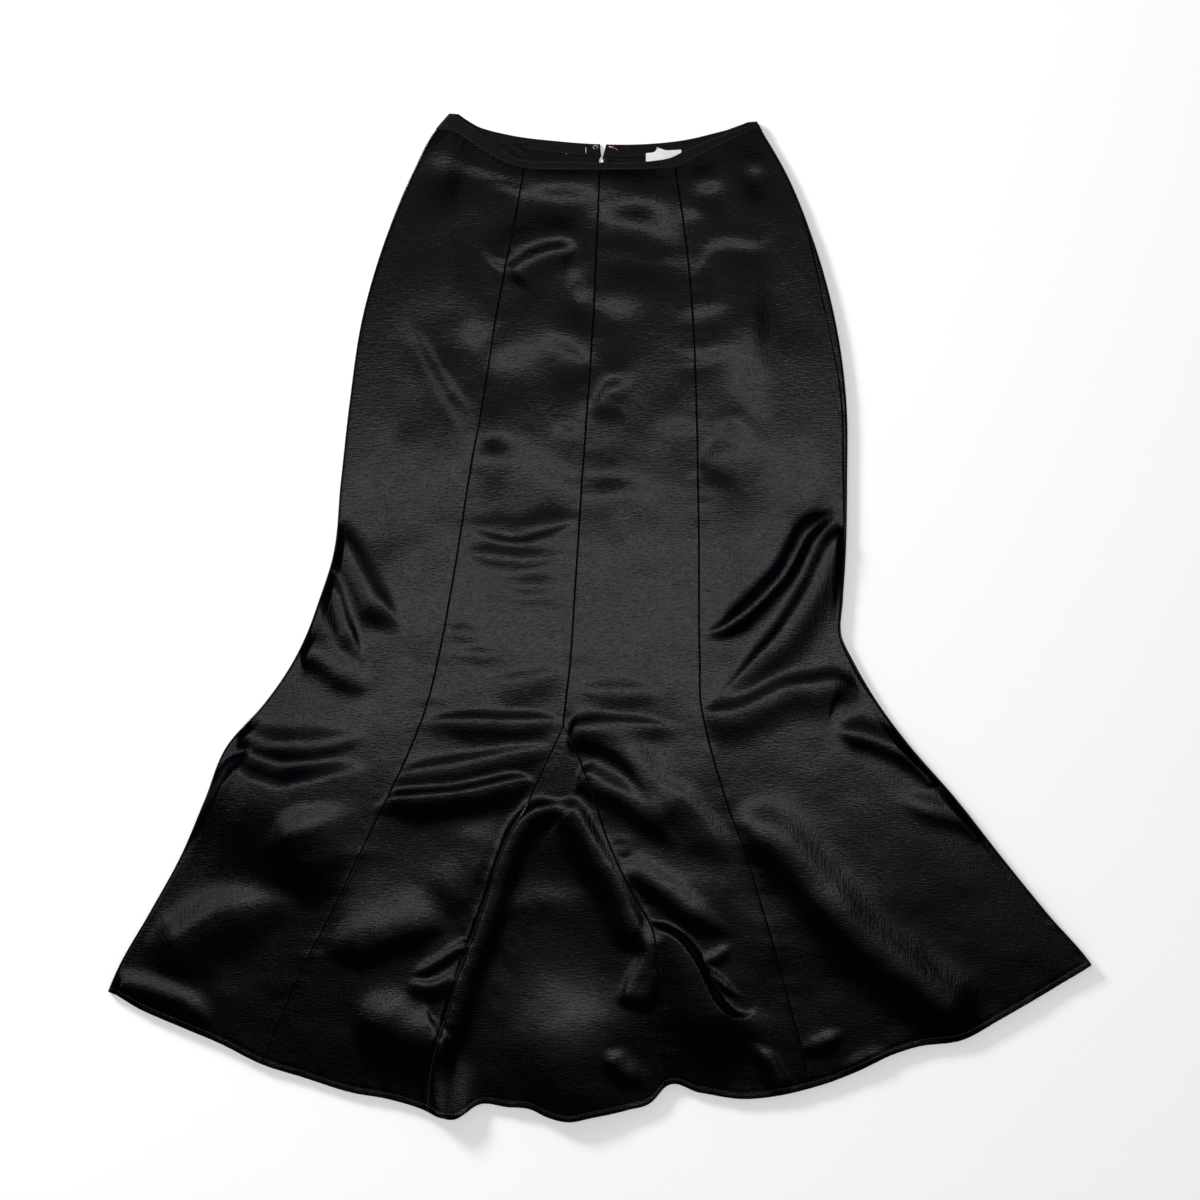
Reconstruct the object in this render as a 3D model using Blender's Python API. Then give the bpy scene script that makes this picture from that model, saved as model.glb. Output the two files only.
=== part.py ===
"""Mermaid fishtail skirt in heavy black satin, laid flat with its front up.

Four front gores, a front godet and four back gores make a closed tube that lies with its front on its
back. Narrow waistbands close the top, with a zip, a hook and an eye at the centre back.
X runs to the skirt's right edge as seen from above, Y to the waist and Z up from the surface it lies on.
Sizes are in millimetres, and MM turns them into Blender's metres.
"""
from collections import namedtuple

import bmesh
import bpy
import numpy as np
from mathutils import Matrix, Vector

MM = 0.001

# Driving sizes
CLOTH = 1.2
BAND_CLOTH = 1.6
TAPE_CLOTH = 1.0
LABEL_CLOTH = 1.0
SEAM_GAP = 0.3
FRONT_HEIGHT = 4.2
WAIST_LIFT = 1.0
FLARE_LOFT = 2.0
ROLL_DEPTH = 2.5
FLAT_MARGIN = 7.0
TUCK_UNDER = 6.0
LEAST_SEAM_INSET = 0.4
LOFT_SLOPE = 45.0
WAIST_LIFT_FOOT = 380.0
WAIST_LIFT_RUN = 60.0
FLARE_LOFT_TOP = -40.0
FLARE_LOFT_RUN = 120.0

# The side edges turn level towards the waist by a share, over a run that starts at this height
LEVEL_SHARE = 0.85
LEVEL_FOOT = 455.0
LEVEL_RUN = 50.0

# Rows take the waist curve down to this station, and the hem curve from this one, ever more strongly
WAIST_CURVE_END = 0.35
HEM_CURVE_START = 1.15
HEM_CURVE_POWER = 1.6
CURVE_END_REACH = 25.0

# First guesses at where a line meets the waist and the hem, and how often they are refined
WAIST_GUESS = 480.0
HEM_GUESS = -490.0
GUESS_ROUNDS = 8

# Middle of the whole skirt's box in plan, which becomes the origin
MIDDLE = (0.7, 1.12)

# The side edge: a half-oval roll between the back, flat on the surface, and the front
ROLL_QUARTER = 3.4
FIELD_INSET = ROLL_DEPTH + FLAT_MARGIN

# Lines of the cut in plan: at each level, how far right of the middle each line runs
Level = namedtuple("Level", "y side_left princess_left centre princess_right side_right")
LEVELS = (
    Level(530, -156.5, -70.0, 0.4, 70.0, 160.0),
    Level(513, -171.2, -73.0, 0.4, 74.0, 170.1),
    Level(470, -194.5, -79.2, 0.4, 80.4, 195.0),
    Level(400, -223.5, -92.0, -2.3, 90.8, 223.8),
    Level(315, -248.5, -108.5, -6.0, 98.6, 247.5),
    Level(230, -261.4, -121.7, -11.7, 102.2, 259.4),
    Level(145, -270.9, -136.8, -17.8, 104.0, 260.4),
    Level(60, -280.6, -150.0, -23.2, 105.0, 258.6),
    Level(20, -293.6, -156.8, -25.8, 104.9, 256.0),
    Level(-20, -308.5, -164.0, -28.2, 105.2, 255.0),
    Level(-45, -321.0, -169.3, -30.0, 105.8, 267.0),
    Level(-90, -352.0, -180.4, -35.2, 107.0, 293.5),
    Level(-130, -388.0, -195.0, -39.0, 115.4, 323.2),
    Level(-190, -413.8, -223.0, -42.0, 132.8, 375.3),
    Level(-250, -439.4, -252.0, -44.0, 154.1, 422.3),
    Level(-310, -472.5, -280.8, -46.0, 172.7, 471.0),
    Level(-365, -504.0, -309.7, -47.0, 189.0, 518.0),
    Level(-415, -524.0, -331.7, -48.0, 202.2, 540.0),
    Level(-467, -540.0, -354.0, -49.0, 215.5, 560.0),
    Level(-500, -550.0, -367.0, -50.0, 219.6, 570.0),
)

# The godet's two seams, from its point at the knee to the hem
GodetLevel = namedtuple("GodetLevel", "y godet_left godet_right")
GODET_LEVELS = (
    GodetLevel(-113, -37.0, -37.0),
    GodetLevel(-145, -52.0, -21.7),
    GodetLevel(-190, -73.0, -5.4),
    GodetLevel(-235, -97.8, 10.2),
    GodetLevel(-290, -117.2, 36.0),
    GodetLevel(-322, -128.4, 54.5),
    GodetLevel(-365, -145.0, 60.6),
    GodetLevel(-415, -159.6, 66.8),
    GodetLevel(-467, -175.6, 68.5),
    GodetLevel(-516, -180.9, 69.5),
)

# Back seams lie straighter than the front ones, since nothing pulls them aside
BackLevel = namedtuple("BackLevel", "y back_left back_centre back_right")
BACK_LEVELS = (
    BackLevel(505, -84.0, 3.2, 84.0),
    BackLevel(400, -96.0, -1.0, 94.0),
    BackLevel(230, -120.0, -9.0, 106.0),
    BackLevel(60, -146.0, -20.0, 112.0),
    BackLevel(-95, -176.0, -34.0, 120.0),
    BackLevel(-250, -236.0, -41.0, 172.0),
    BackLevel(-480, -318.0, -46.0, 250.0),
)

# Level at which each line turns out into the flare, and the ends of the side lines
KNEES = {
    "side_left": -20.0, "princess_left": -95.0, "godet_left": -113.0, "godet_right": -113.0,
    "princess_right": -95.0, "side_right": -20.0,
    "back_left": -95.0, "back_centre": -113.0, "back_right": -95.0,
}
SideEnds = namedtuple("SideEnds", "band_top waist hem")
SIDE_ENDS = {
    "side_left": SideEnds(529.7, 513.0, -391.0),
    "side_right": SideEnds(521.3, 512.0, -363.0),
}

# Curves across the skirt, as rows of x and y
WAIST_SEAM = (
    (-171, 513), (-150, 509), (-121, 491), (-102, 480), (-79, 472), (-48, 470),
    (0, 470), (33, 470), (59, 471), (80, 473), (112, 488), (147, 505), (169, 512),
)
BAND_TOP = (
    (-156, 529.7), (-129, 512), (-102, 493), (-86, 483), (-69, 479.5), (-38, 479),
    (0, 478), (33, 478), (59, 480), (75, 483), (91, 491), (112, 500), (140, 511), (167, 521.3),
)
BACK_WAIST_SEAM = (
    (-171, 513), (-129, 504), (-91, 495), (-48, 488.5), (0, 484.5), (48, 485), (91, 490),
    (129, 500), (169, 512),
)
BACK_BAND_TOP = (
    (-156, 529.7), (-129, 517), (-91, 507), (-48, 501.5), (0, 498), (48, 498), (91, 502.5),
    (129, 511.5), (167, 521.3),
)
HEM = (
    (-514, -391), (-486, -407), (-436, -429), (-398, -445), (-354, -467), (-310, -481),
    (-259, -497), (-222, -503.5), (-181, -516), (-165, -523), (-150, -524), (-140, -518),
    (-130, -511), (-96, -512), (-70, -515), (-58, -521), (-33, -527.5), (-7, -523), (30, -515),
    (56, -506), (69.5, -491), (106, -497), (150, -503.5), (194, -499), (219, -493), (245, -485),
    (270, -475), (308, -457), (333, -449), (383, -441), (421, -420), (459, -398), (517, -363),
)
BACK_HEM = (
    (-514, -391), (-400, -436), (-318, -466), (-200, -490), (-100, -498), (0, -492), (69, -482),
    (150, -488), (250, -470), (330, -440), (400, -423), (459, -394), (517, -363),
)

# How far inside the right edge the side seam shows on top, where the back rolls round to the front
SIDE_SEAM_INSET = (
    (-390, 0.4), (-90, 0.4), (-75, 2.4), (-30, 2.3), (0, 0.6), (56, 0.6), (91, 2.1), (159, 4.2),
    (250, 5.8), (295, 8.2), (337, 8.2), (378, 5.3), (418, 1.2), (521, 0.6),
)

# The largest folds. Each runs from start over bend to end, rises in the middle and falls away to
# nothing over the widths on its left and right, seen from start to end; lean pushes its crest along X
Fold = namedtuple("Fold", "start bend end rise left right lean")
FOLDS = (
    Fold((-276, 88), (-250, 48), (-208, -8), 6.0, 9, 17, 0),
    Fold((-284, 40), (-267, 0), (-252, -40), 4.5, 8, 12, 0),
    Fold((-372, -118), (-325, -137), (-236, -116), 5.0, 12, 12, 0),
    Fold((-376, -150), (-320, -174), (-208, -134), 5.0, 15, 20, 0),
    Fold((-219, -176), (-150, -152), (-46, -132), 5.0, 9, 12, 0),
    Fold((-222, -190), (-150, -183), (-62, -166), 5.0, 10, 20, 0),
    Fold((-66, -172), (-118, -262), (-150, -350), 5.5, 14, 18, 0),
    Fold((-62, -196), (-112, -300), (-158, -540), 9.0, 12, 17, 9),
    Fold((-40, -184), (14, -282), (60, -412), 9.0, 16, 17, 0),
    Fold((-30, -118), (26, -140), (84, -222), 5.0, 15, 12, 0),
    Fold((20, -250), (72, -292), (140, -332), 5.0, 12, 15, 0),
    Fold((62, -318), (100, -362), (152, -420), 6.5, 18, 14, 0),
    Fold((232, 108), (192, 52), (100, -14), 6.0, 9, 13, 0),
    Fold((258, 86), (216, 36), (150, -42), 5.5, 12, 17, 0),
    Fold((110, -98), (152, -88), (196, -64), 4.5, 10, 14, 0),
    Fold((140, -180), (250, -292), (398, -418), 7.0, 18, 26, 0),
)

# Rows down each panel: torso rows run from 0 at the waist to 1 at the knee, flare rows to 2 at the hem
TORSO_ROWS = 14
FLARE_ROWS = 13
ZIP_TOP_ROW = 0.012
FIRST_GODET_ROW = 1.02
STATIONS = np.concatenate((
    [0.0, ZIP_TOP_ROW],
    np.linspace(0.0, 1.0, TORSO_ROWS + 1)[1:],
    [FIRST_GODET_ROW],
    1.0 + np.linspace(0.0, 1.0, FLARE_ROWS + 1)[1:],
))
SIDE_COLUMNS = 9
CENTRE_COLUMNS = 7
GODET_COLUMNS = 15
BACK_COLUMNS = 4
BAND_ROWS = 2

# Zip, at the centre back: the cloth stands off it on both sides, below the open top of the band
ZIP_HALF_GAP = 3.3
ZIP_LENGTH = 200.0
NOTCH_HALF_WIDTH = 3.2
NOTCH_FOOT_HALF_WIDTH = 0.7
NOTCH_TURN = 6.0
ZIP_FOOT_RUN = 20.0
TAPE_WIDTH = 12.0
# The tapes' edge at each level: how far it turns away from the middle
TapeRow = namedtuple("TapeRow", "y off")
TAPE_ROWS = (
    TapeRow(278.0, 0.0), TapeRow(348.0, 0.0), TapeRow(418.0, 0.0), TapeRow(464.0, 0.0),
    TapeRow(473.0, 1.2), TapeRow(483.5, 2.4),
)
SLIDER_TOP = 478.0
SLIDER_WIDTH = 4.2
SLIDER_LENGTH = 9.0
SLIDER_PLATE = 1.15
SLIDER_INNER_PLATE = 0.7
SLIDER_NECK = 1.4
SLIDER_NECK_LENGTH = 2.2
PULL_WIDTH = 3.2
PULL_LENGTH = 20.0
PULL_PLATE = 0.9
PULL_HEAD = 1.4
PIN_RADIUS = 0.2
PIN_HOLE_RADIUS = 0.36
LUG_DEPTH = 1.9
PIN_INSET = 0.4
PIN_FROM_LUG_END = 0.75
METAL_LOW = 0.1
JOIN = 0.2      # by which joined shapes run into each other

# Pull tab: its shoulders' drop below the pin, the head above the pin and its thickness
PULL_SHOULDER = 2.6
PULL_HEAD_TOP = 0.55
PULL_HEAD_PLATE = 1.1
PULL_CORNER = 2.5

# Hook and eye, sewn on the inside of the band
WIRE_RADIUS = 0.45
WIRE_LIFT = 0.5
EYE_CENTRE = (-3.6, 494.4)
EYE_RADIUS = 2.2
EYE_TURN = 140.0
HOOK_ROUTE = (      # x, y and height over the band
    (19.5, 491.5, 0.0), (16.0, 493.6, 0.0), (11.8, 494.6, 0.0), (10.6, 494.8, 0.8), (11.8, 494.9, 1.7),
    (14.6, 495.0, 1.5),
)

# Labels: middle, width, length and turn in degrees
Label = namedtuple("Label", "centre width length turn")
TAG = Label((70.0, 480.5), 27.0, 20.0, -20.0)
WHITE_LABEL = Label((67.8, 476.0), 36.7, 28.0, 1.5)

BLACK = (0.0045, 0.0045, 0.0055)
BAND_BLACK = (0.008, 0.008, 0.009)
TAPE_BLACK = (0.012, 0.012, 0.013)
DARK_METAL = (0.03, 0.028, 0.027)
WARM_METAL = (0.20, 0.12, 0.07)
WHITE = (0.80, 0.80, 0.78)
BEIGE = (0.55, 0.43, 0.31)


def clear_scene():
    for existing in list(bpy.data.objects):
        bpy.data.objects.remove(existing, do_unlink=True)


def make_material(name, colour, roughness, metallic=0.0):
    material = bpy.data.materials.new(name)
    material.use_nodes = True
    shader = material.node_tree.nodes["Principled BSDF"]
    shader.inputs["Base Color"].default_value = (*colour, 1.0)
    shader.inputs["Roughness"].default_value = roughness
    shader.inputs["Metallic"].default_value = metallic
    material.diffuse_color = (*colour, 1.0)
    return material


def smooth_curve(rows, at):
    """Cubic through the rows of (place, value), with each slope taken from the rows either side."""
    ordered = np.array(sorted(rows), dtype=float)
    places = ordered[:, 0]
    values = ordered[:, 1]
    slopes = np.gradient(values, places)
    at = np.clip(np.asarray(at, dtype=float), places[0], places[-1])
    step = np.clip(np.searchsorted(places, at) - 1, 0, len(places) - 2)
    width = places[step + 1] - places[step]
    t = (at - places[step]) / width
    start = (2 * t**3 - 3 * t**2 + 1) * values[step] + (t**3 - 2 * t**2 + t) * width * slopes[step]
    end = (3 * t**2 - 2 * t**3) * values[step + 1] + (t**3 - t**2) * width * slopes[step + 1]
    return start + end


def ease(value):
    """0 up to 0, 1 from 1 on, and a smooth step between."""
    share = np.clip(value, 0.0, 1.0)
    return share * share * (3.0 - 2.0 * share)


def line_x(line, y):
    """How far right of the middle a line of the cut runs at level y."""
    if line.startswith("godet"):
        below = smooth_curve([(row.y, getattr(row, line)) for row in GODET_LEVELS], y)
        above = smooth_curve([(row.y, row.centre) for row in LEVELS], y)
        return np.where(np.asarray(y) < GODET_LEVELS[0].y, below, above)
    table = BACK_LEVELS if line.startswith("back") else LEVELS
    return smooth_curve([(row.y, getattr(row, line)) for row in table], y)


def line_ends(line):
    """Levels of a line's ends: where it meets the waist seam and the hem."""
    if line in SIDE_ENDS:
        return SIDE_ENDS[line].waist, SIDE_ENDS[line].hem
    on_back = line.startswith("back")
    ends = []
    for curve, level in ((BACK_WAIST_SEAM if on_back else WAIST_SEAM, WAIST_GUESS),
                         (BACK_HEM if on_back else HEM, HEM_GUESS)):
        for _ in range(GUESS_ROUNDS):
            level = float(smooth_curve(curve, line_x(line, level)))
        ends.append(level)
    return ends


def line_points(line, stations):
    """Plan points of a line of the cut at the stations down the skirt."""
    waist, hem = line_ends(line)
    knee = KNEES[line]
    y = waist + (knee - waist) * np.minimum(stations, 1.0)
    y = y + (hem - knee) * np.maximum(stations - 1.0, 0.0)
    return np.stack([line_x(line, y), y], axis=1)


def inward(points, side):
    """Unit vectors in plan that point from a side line into the skirt, level at the waist."""
    y = points[:, 1]
    run = (line_x(side, y + 1.0) - line_x(side, y - 1.0)) / 2.0
    run = run * (1.0 - LEVEL_SHARE * ease((y - LEVEL_FOOT) / LEVEL_RUN))
    across = np.stack([np.ones_like(run), -run], axis=1)
    across /= np.linalg.norm(across, axis=1, keepdims=True)
    return across if side == "side_left" else -across


def edge_distance(x, y):
    """Plan distance to the nearer side edge, close enough for easing."""
    left = (x - line_x("side_left", y)) * slant("side_left", y)
    right = (line_x("side_right", y) - x) * slant("side_right", y)
    return np.minimum(left, right)


def slant(line, y):
    run = line_x(line, y + 1.0) - line_x(line, y - 1.0)
    return 2.0 / np.hypot(run, 2.0)


def fold_share(fold, x, y):
    """How far up the fold a point stands: 1 on its crest, 0 well away from it."""
    t = np.linspace(0.0, 1.0, 21)[:, None]
    start, bend, end = (np.array(place, dtype=float) for place in fold[:3])
    control = 2.0 * bend - 0.5 * (start + end)
    spine = (1 - t) ** 2 * start + 2 * t * (1 - t) * control + t**2 * end
    points = np.stack([x, y], axis=-1)[..., None, :]
    run = spine[1:] - spine[:-1]
    reach = ((points - spine[:-1]) * run).sum(-1) / (run * run).sum(-1)
    reach = np.clip(reach, 0.0, 1.0)
    offset = points - (spine[:-1] + reach[..., None] * run)
    distance = np.linalg.norm(offset, axis=-1)
    nearest = np.argmin(distance, axis=-1)[..., None]
    away = np.take_along_axis(distance, nearest, -1)[..., 0]
    turn = run[:, 0] * offset[..., 1] - run[:, 1] * offset[..., 0]
    on_left = np.take_along_axis(turn, nearest, -1)[..., 0] > 0
    width = np.where(on_left, fold.left, fold.right)
    along = (nearest[..., 0] + np.take_along_axis(reach, nearest, -1)[..., 0]) / len(run)
    taper = np.sin(np.pi * np.clip(along, 0.02, 0.98)) ** 0.6
    return taper * np.exp(-((away / width) ** 2))


def front_surface(x, y):
    """The middle of the front cloth over plan points, folds and all."""
    x = np.asarray(x, dtype=float)
    y = np.asarray(y, dtype=float)
    edge = ease((edge_distance(x, y) - FIELD_INSET) / LOFT_SLOPE)
    waist = WAIST_LIFT * ease((y - WAIST_LIFT_FOOT) / WAIST_LIFT_RUN)
    loft = FLARE_LOFT * ease((FLARE_LOFT_TOP - y) / FLARE_LOFT_RUN)
    height = waist + loft
    pushed = np.zeros_like(x)
    for fold in FOLDS:
        share = fold_share(fold, x, y)
        height = height + fold.rise * share
        pushed = pushed + fold.lean * share
    return np.stack([x + pushed * edge, y, FRONT_HEIGHT + height * edge], axis=-1)


def front_normals(x, y):
    step = 0.5
    along_x = front_surface(x + step, y) - front_surface(x - step, y)
    along_y = front_surface(x, y + step) - front_surface(x, y - step)
    normals = np.cross(along_x, along_y)
    return normals / np.linalg.norm(normals, axis=-1, keepdims=True)


def side_roll(points, side, path, cloth):
    """Columns of the side edge. path runs from its outermost line, up over the front or down under."""
    low = cloth / 2
    high = FRONT_HEIGHT
    inside = inward(points, side)
    angle = 0.5 * np.pi * np.clip(path / ROLL_QUARTER, -1.0, 1.0)
    beyond = np.maximum(np.abs(path) - ROLL_QUARTER, 0.0)
    inset = ROLL_DEPTH * (1.0 - np.cos(angle)) + beyond
    radius = (high - low) / 2
    height = (high + low) / 2 + radius * np.sin(angle)
    plan = points[:, None, :] + inside[:, None, :] * inset[..., None]
    out = np.stack([np.cos(angle) / ROLL_DEPTH, np.sin(angle) / radius], axis=-1)
    out /= np.linalg.norm(out, axis=-1, keepdims=True)
    normals = np.concatenate([-inside[:, None, :] * out[..., :1], out[..., 1:]], axis=-1)
    return np.concatenate([plan, height[..., None]], axis=-1), normals


def row_on_curve(curve, row):
    """A row of plan points moved onto a curve across the skirt, but for its ends, which stay."""
    y = smooth_curve(curve, row[:, 0])
    for end in (0, -1):
        near = ease(1.0 - np.abs(row[:, 0] - row[end, 0]) / CURVE_END_REACH)
        y = y + near * (row[end, 1] - smooth_curve(curve, row[end, 0]))
    return y


def patch(left, right, columns, stations, waist_curve, hem_curve):
    """Plan points between two edges, on the waist curve at the top and the hem curve at the foot."""
    shares = np.linspace(0.0, 1.0, columns + 1)
    across = left[:, None, :] + (right - left)[:, None, :] * shares[None, :, None]
    if waist_curve is not None:
        top = 1.0 - ease(stations / WAIST_CURVE_END)
        across[..., 1] += top[:, None] * (row_on_curve(waist_curve, across[0]) - across[0, :, 1])
    foot = np.clip((stations - HEM_CURVE_START) / (2.0 - HEM_CURVE_START), 0.0, 1.0)
    foot = foot**HEM_CURVE_POWER
    across[..., 1] += foot[:, None] * (row_on_curve(hem_curve, across[-1]) - across[-1, :, 1])
    return across


def make_wall(name, points, normals, cloth, material):
    """A closed wall of the cloth's thickness around a grid of points on its middle."""
    rows, columns = points.shape[:2]
    outer = points + normals * cloth / 2
    inner = points - normals * cloth / 2
    corners = np.concatenate([outer.reshape(-1, 3), inner.reshape(-1, 3)])
    corners[:, 2] = np.maximum(corners[:, 2], 0.0)
    mesh = bmesh.new()
    verts = [mesh.verts.new(Vector(corner) * MM) for corner in corners]
    half = rows * columns

    def at(row, column, side):
        return verts[row * columns + column + side * half]

    for row in range(rows - 1):
        for column in range(columns - 1):
            square = ((row, column), (row + 1, column), (row + 1, column + 1), (row, column + 1))
            mesh.faces.new([at(*corner, 0) for corner in square])
            mesh.faces.new([at(*corner, 1) for corner in reversed(square)])
    rim = [(row, 0) for row in range(rows)]
    rim += [(rows - 1, column) for column in range(1, columns)]
    rim += [(row, columns - 1) for row in range(rows - 2, -1, -1)]
    rim += [(0, column) for column in range(columns - 2, 0, -1)]
    for here, after in zip(rim, rim[1:] + rim[:1]):
        mesh.faces.new([at(*here, 1), at(*after, 1), at(*after, 0), at(*here, 0)])
    bmesh.ops.triangulate(mesh, faces=mesh.faces[:])
    bmesh.ops.recalc_face_normals(mesh, faces=mesh.faces[:])
    return finish_object(name, mesh, material)


def finish_object(name, mesh, material):
    data = bpy.data.meshes.new(name)
    mesh.to_mesh(data)
    mesh.free()
    data.materials.append(material)
    data.shade_smooth()
    data.set_sharp_from_angle(angle=0.7)
    made = bpy.data.objects.new(name, data)
    bpy.context.collection.objects.link(made)
    return made


def seam_edge(line, stations, toward):
    """A panel's edge, half a seam gap inside its seam line."""
    points = line_points(line, stations)
    points[:, 0] += toward * SEAM_GAP / 2
    return points


def below_waist_seam(points):
    """Half a seam gap between the panel's top row and the waist seam."""
    points[0, :, 1] -= SEAM_GAP / 2
    return points


def right_seam_path(points):
    """Where the right side seam lies on the edge's path, from its inset in plan."""
    inset = np.maximum(smooth_curve(SIDE_SEAM_INSET, points[:, 1]), LEAST_SEAM_INSET)
    on_roll = ROLL_QUARTER * 2.0 / np.pi * np.arccos(1.0 - np.minimum(inset / ROLL_DEPTH, 1.0))
    return on_roll + np.maximum(inset - ROLL_DEPTH, 0.0)


def front_field(plan):
    return front_surface(plan[..., 0], plan[..., 1]), front_normals(plan[..., 0], plan[..., 1])


def side_front(name, side, seam, material):
    """A side front gore, from its princess seam out over the side edge to the side seam."""
    edge = line_points(side, STATIONS)
    field_edge = edge + inward(edge, side) * FIELD_INSET
    if side == "side_left":
        path = np.array([-ROLL_QUARTER - TUCK_UNDER, *np.linspace(-1.0, 1.0, 5) * ROLL_QUARTER])
        path = np.repeat(path[None, :], len(STATIONS), axis=0)
        seam_line = seam_edge(seam, STATIONS, -1.0)
    else:
        start = right_seam_path(edge) + SEAM_GAP / 2
        share = np.linspace(0.0, 0.8, 4)
        path = start[:, None] + (ROLL_QUARTER + FLAT_MARGIN - start)[:, None] * share
        seam_line = seam_edge(seam, STATIONS, 1.0)
    plan = patch(field_edge, seam_line, SIDE_COLUMNS, STATIONS, WAIST_SEAM, HEM)
    field, field_normals = front_field(plan)
    roll, roll_normals = side_roll(edge, side, path, CLOTH)
    points = below_waist_seam(np.concatenate([roll, field], axis=1))
    normals = np.concatenate([roll_normals, field_normals], axis=1)
    return make_wall(name, points, normals, CLOTH, material)


def centre_front(name, left, right, material):
    """A gore that lies between two seams on the front."""
    left_edge = seam_edge(left, STATIONS, 1.0)
    right_edge = seam_edge(right, STATIONS, -1.0)
    plan = patch(left_edge, right_edge, CENTRE_COLUMNS, STATIONS, WAIST_SEAM, HEM)
    points, normals = front_field(plan)
    return make_wall(name, below_waist_seam(points), normals, CLOTH, material)


def godet(name, material):
    """The fan that widens the flare, from its point at the knee to the hem."""
    stations = STATIONS[STATIONS >= FIRST_GODET_ROW]
    left_edge = seam_edge("godet_left", stations, 1.0)
    right_edge = seam_edge("godet_right", stations, -1.0)
    plan = patch(left_edge, right_edge, GODET_COLUMNS, stations, None, HEM)
    points, normals = front_field(plan)
    return make_wall(name, points, normals, CLOTH, material)


def flat_back(plan, cloth):
    height = np.full(plan.shape[:2] + (1,), cloth / 2)
    normals = np.zeros(plan.shape[:2] + (3,))
    normals[..., 2] = -1.0
    return np.concatenate([plan, height], axis=-1), normals


def centre_back_edge(stations, toward):
    """The centre back edge: it stands off the zip, and meets its fellow below it."""
    points = seam_edge("back_centre", stations, toward)
    top = ease((points[0, 1] - points[:, 1]) / NOTCH_TURN)
    foot = ease((points[:, 1] - SLIDER_TOP + ZIP_LENGTH + ZIP_FOOT_RUN) / ZIP_FOOT_RUN)
    stand_off = NOTCH_FOOT_HALF_WIDTH + (ZIP_HALF_GAP - NOTCH_FOOT_HALF_WIDTH) * top
    points[:, 0] += toward * (stand_off - SEAM_GAP / 2) * foot
    return points


def centre_back(name, toward, material):
    """A back gore beside the centre back seam, to its left (toward -1) or its right (1)."""
    inner = centre_back_edge(STATIONS, toward)
    if toward < 0:
        left, right = seam_edge("back_left", STATIONS, 1.0), inner
    else:
        left, right = inner, seam_edge("back_right", STATIONS, -1.0)
    plan = patch(left, right, BACK_COLUMNS, STATIONS, BACK_WAIST_SEAM, BACK_HEM)
    points, normals = flat_back(plan, CLOTH)
    return make_wall(name, below_waist_seam(points), normals, CLOTH, material)


def back_roll(edge, side, cloth, columns):
    """The right edge of the back, rolled up to its seam on the front."""
    end = right_seam_path(edge) - SEAM_GAP / 2
    path = -ROLL_QUARTER + (end + ROLL_QUARTER)[:, None] * np.linspace(1.0, 0.0, columns)
    return side_roll(edge, side, path, cloth)


def side_back(name, side, seam, material):
    """A side back gore. The right one rolls up over the side edge to its seam on the front."""
    edge = line_points(side, STATIONS)
    rolls_up = side == "side_right"
    inset = FIELD_INSET if rolls_up else ROLL_DEPTH + TUCK_UNDER + SEAM_GAP
    field_edge = edge + inward(edge, side) * inset
    seam_line = seam_edge(seam, STATIONS, 1.0 if rolls_up else -1.0)
    plan = patch(field_edge, seam_line, BACK_COLUMNS, STATIONS, BACK_WAIST_SEAM, BACK_HEM)
    points, normals = flat_back(plan, CLOTH)
    if rolls_up:
        roll, roll_normals = back_roll(edge, side, CLOTH, 7)
        points = np.concatenate([roll, points], axis=1)
        normals = np.concatenate([roll_normals, normals], axis=1)
    return make_wall(name, below_waist_seam(points), normals, CLOTH, material)


def band_edge(side):
    """Plan points of a band's side edge, from the waist seam to its top."""
    ends = SIDE_ENDS[side]
    y = np.linspace(ends.waist, ends.band_top, BAND_ROWS + 1)
    return np.stack([line_x(side, y), y], axis=1)


def band_shares(first_x, seam_x, middle_x, side_columns, centre_columns):
    """Shares across half a band that put its columns on those of the two gores it is sewn to."""
    over_side = np.linspace(first_x, seam_x, side_columns + 1)
    over_centre = np.linspace(seam_x, middle_x, centre_columns + 1)[1:]
    return (np.concatenate([over_side, over_centre]) - first_x) / (middle_x - first_x)


def band_plan(field_edge, middle_foot, middle_top, foot_curve, top_curve, shares):
    """Plan points of half a band, from its side to the centre line."""
    share = np.linspace(0.0, 1.0, BAND_ROWS + 1)[:, None]
    middle = np.array(middle_foot) * (1.0 - share) + np.array(middle_top) * share
    plan = field_edge[:, None, :] + (middle - field_edge)[:, None, :] * shares[None, :, None]
    foot = row_on_curve(foot_curve, plan[0]) - plan[0, :, 1]
    top = row_on_curve(top_curve, plan[-1]) - plan[-1, :, 1]
    plan[..., 1] += (1.0 - share) * foot + share * top
    return plan


def above_waist_seam(points):
    points[0, :, 1] += SEAM_GAP / 2
    return points


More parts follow.
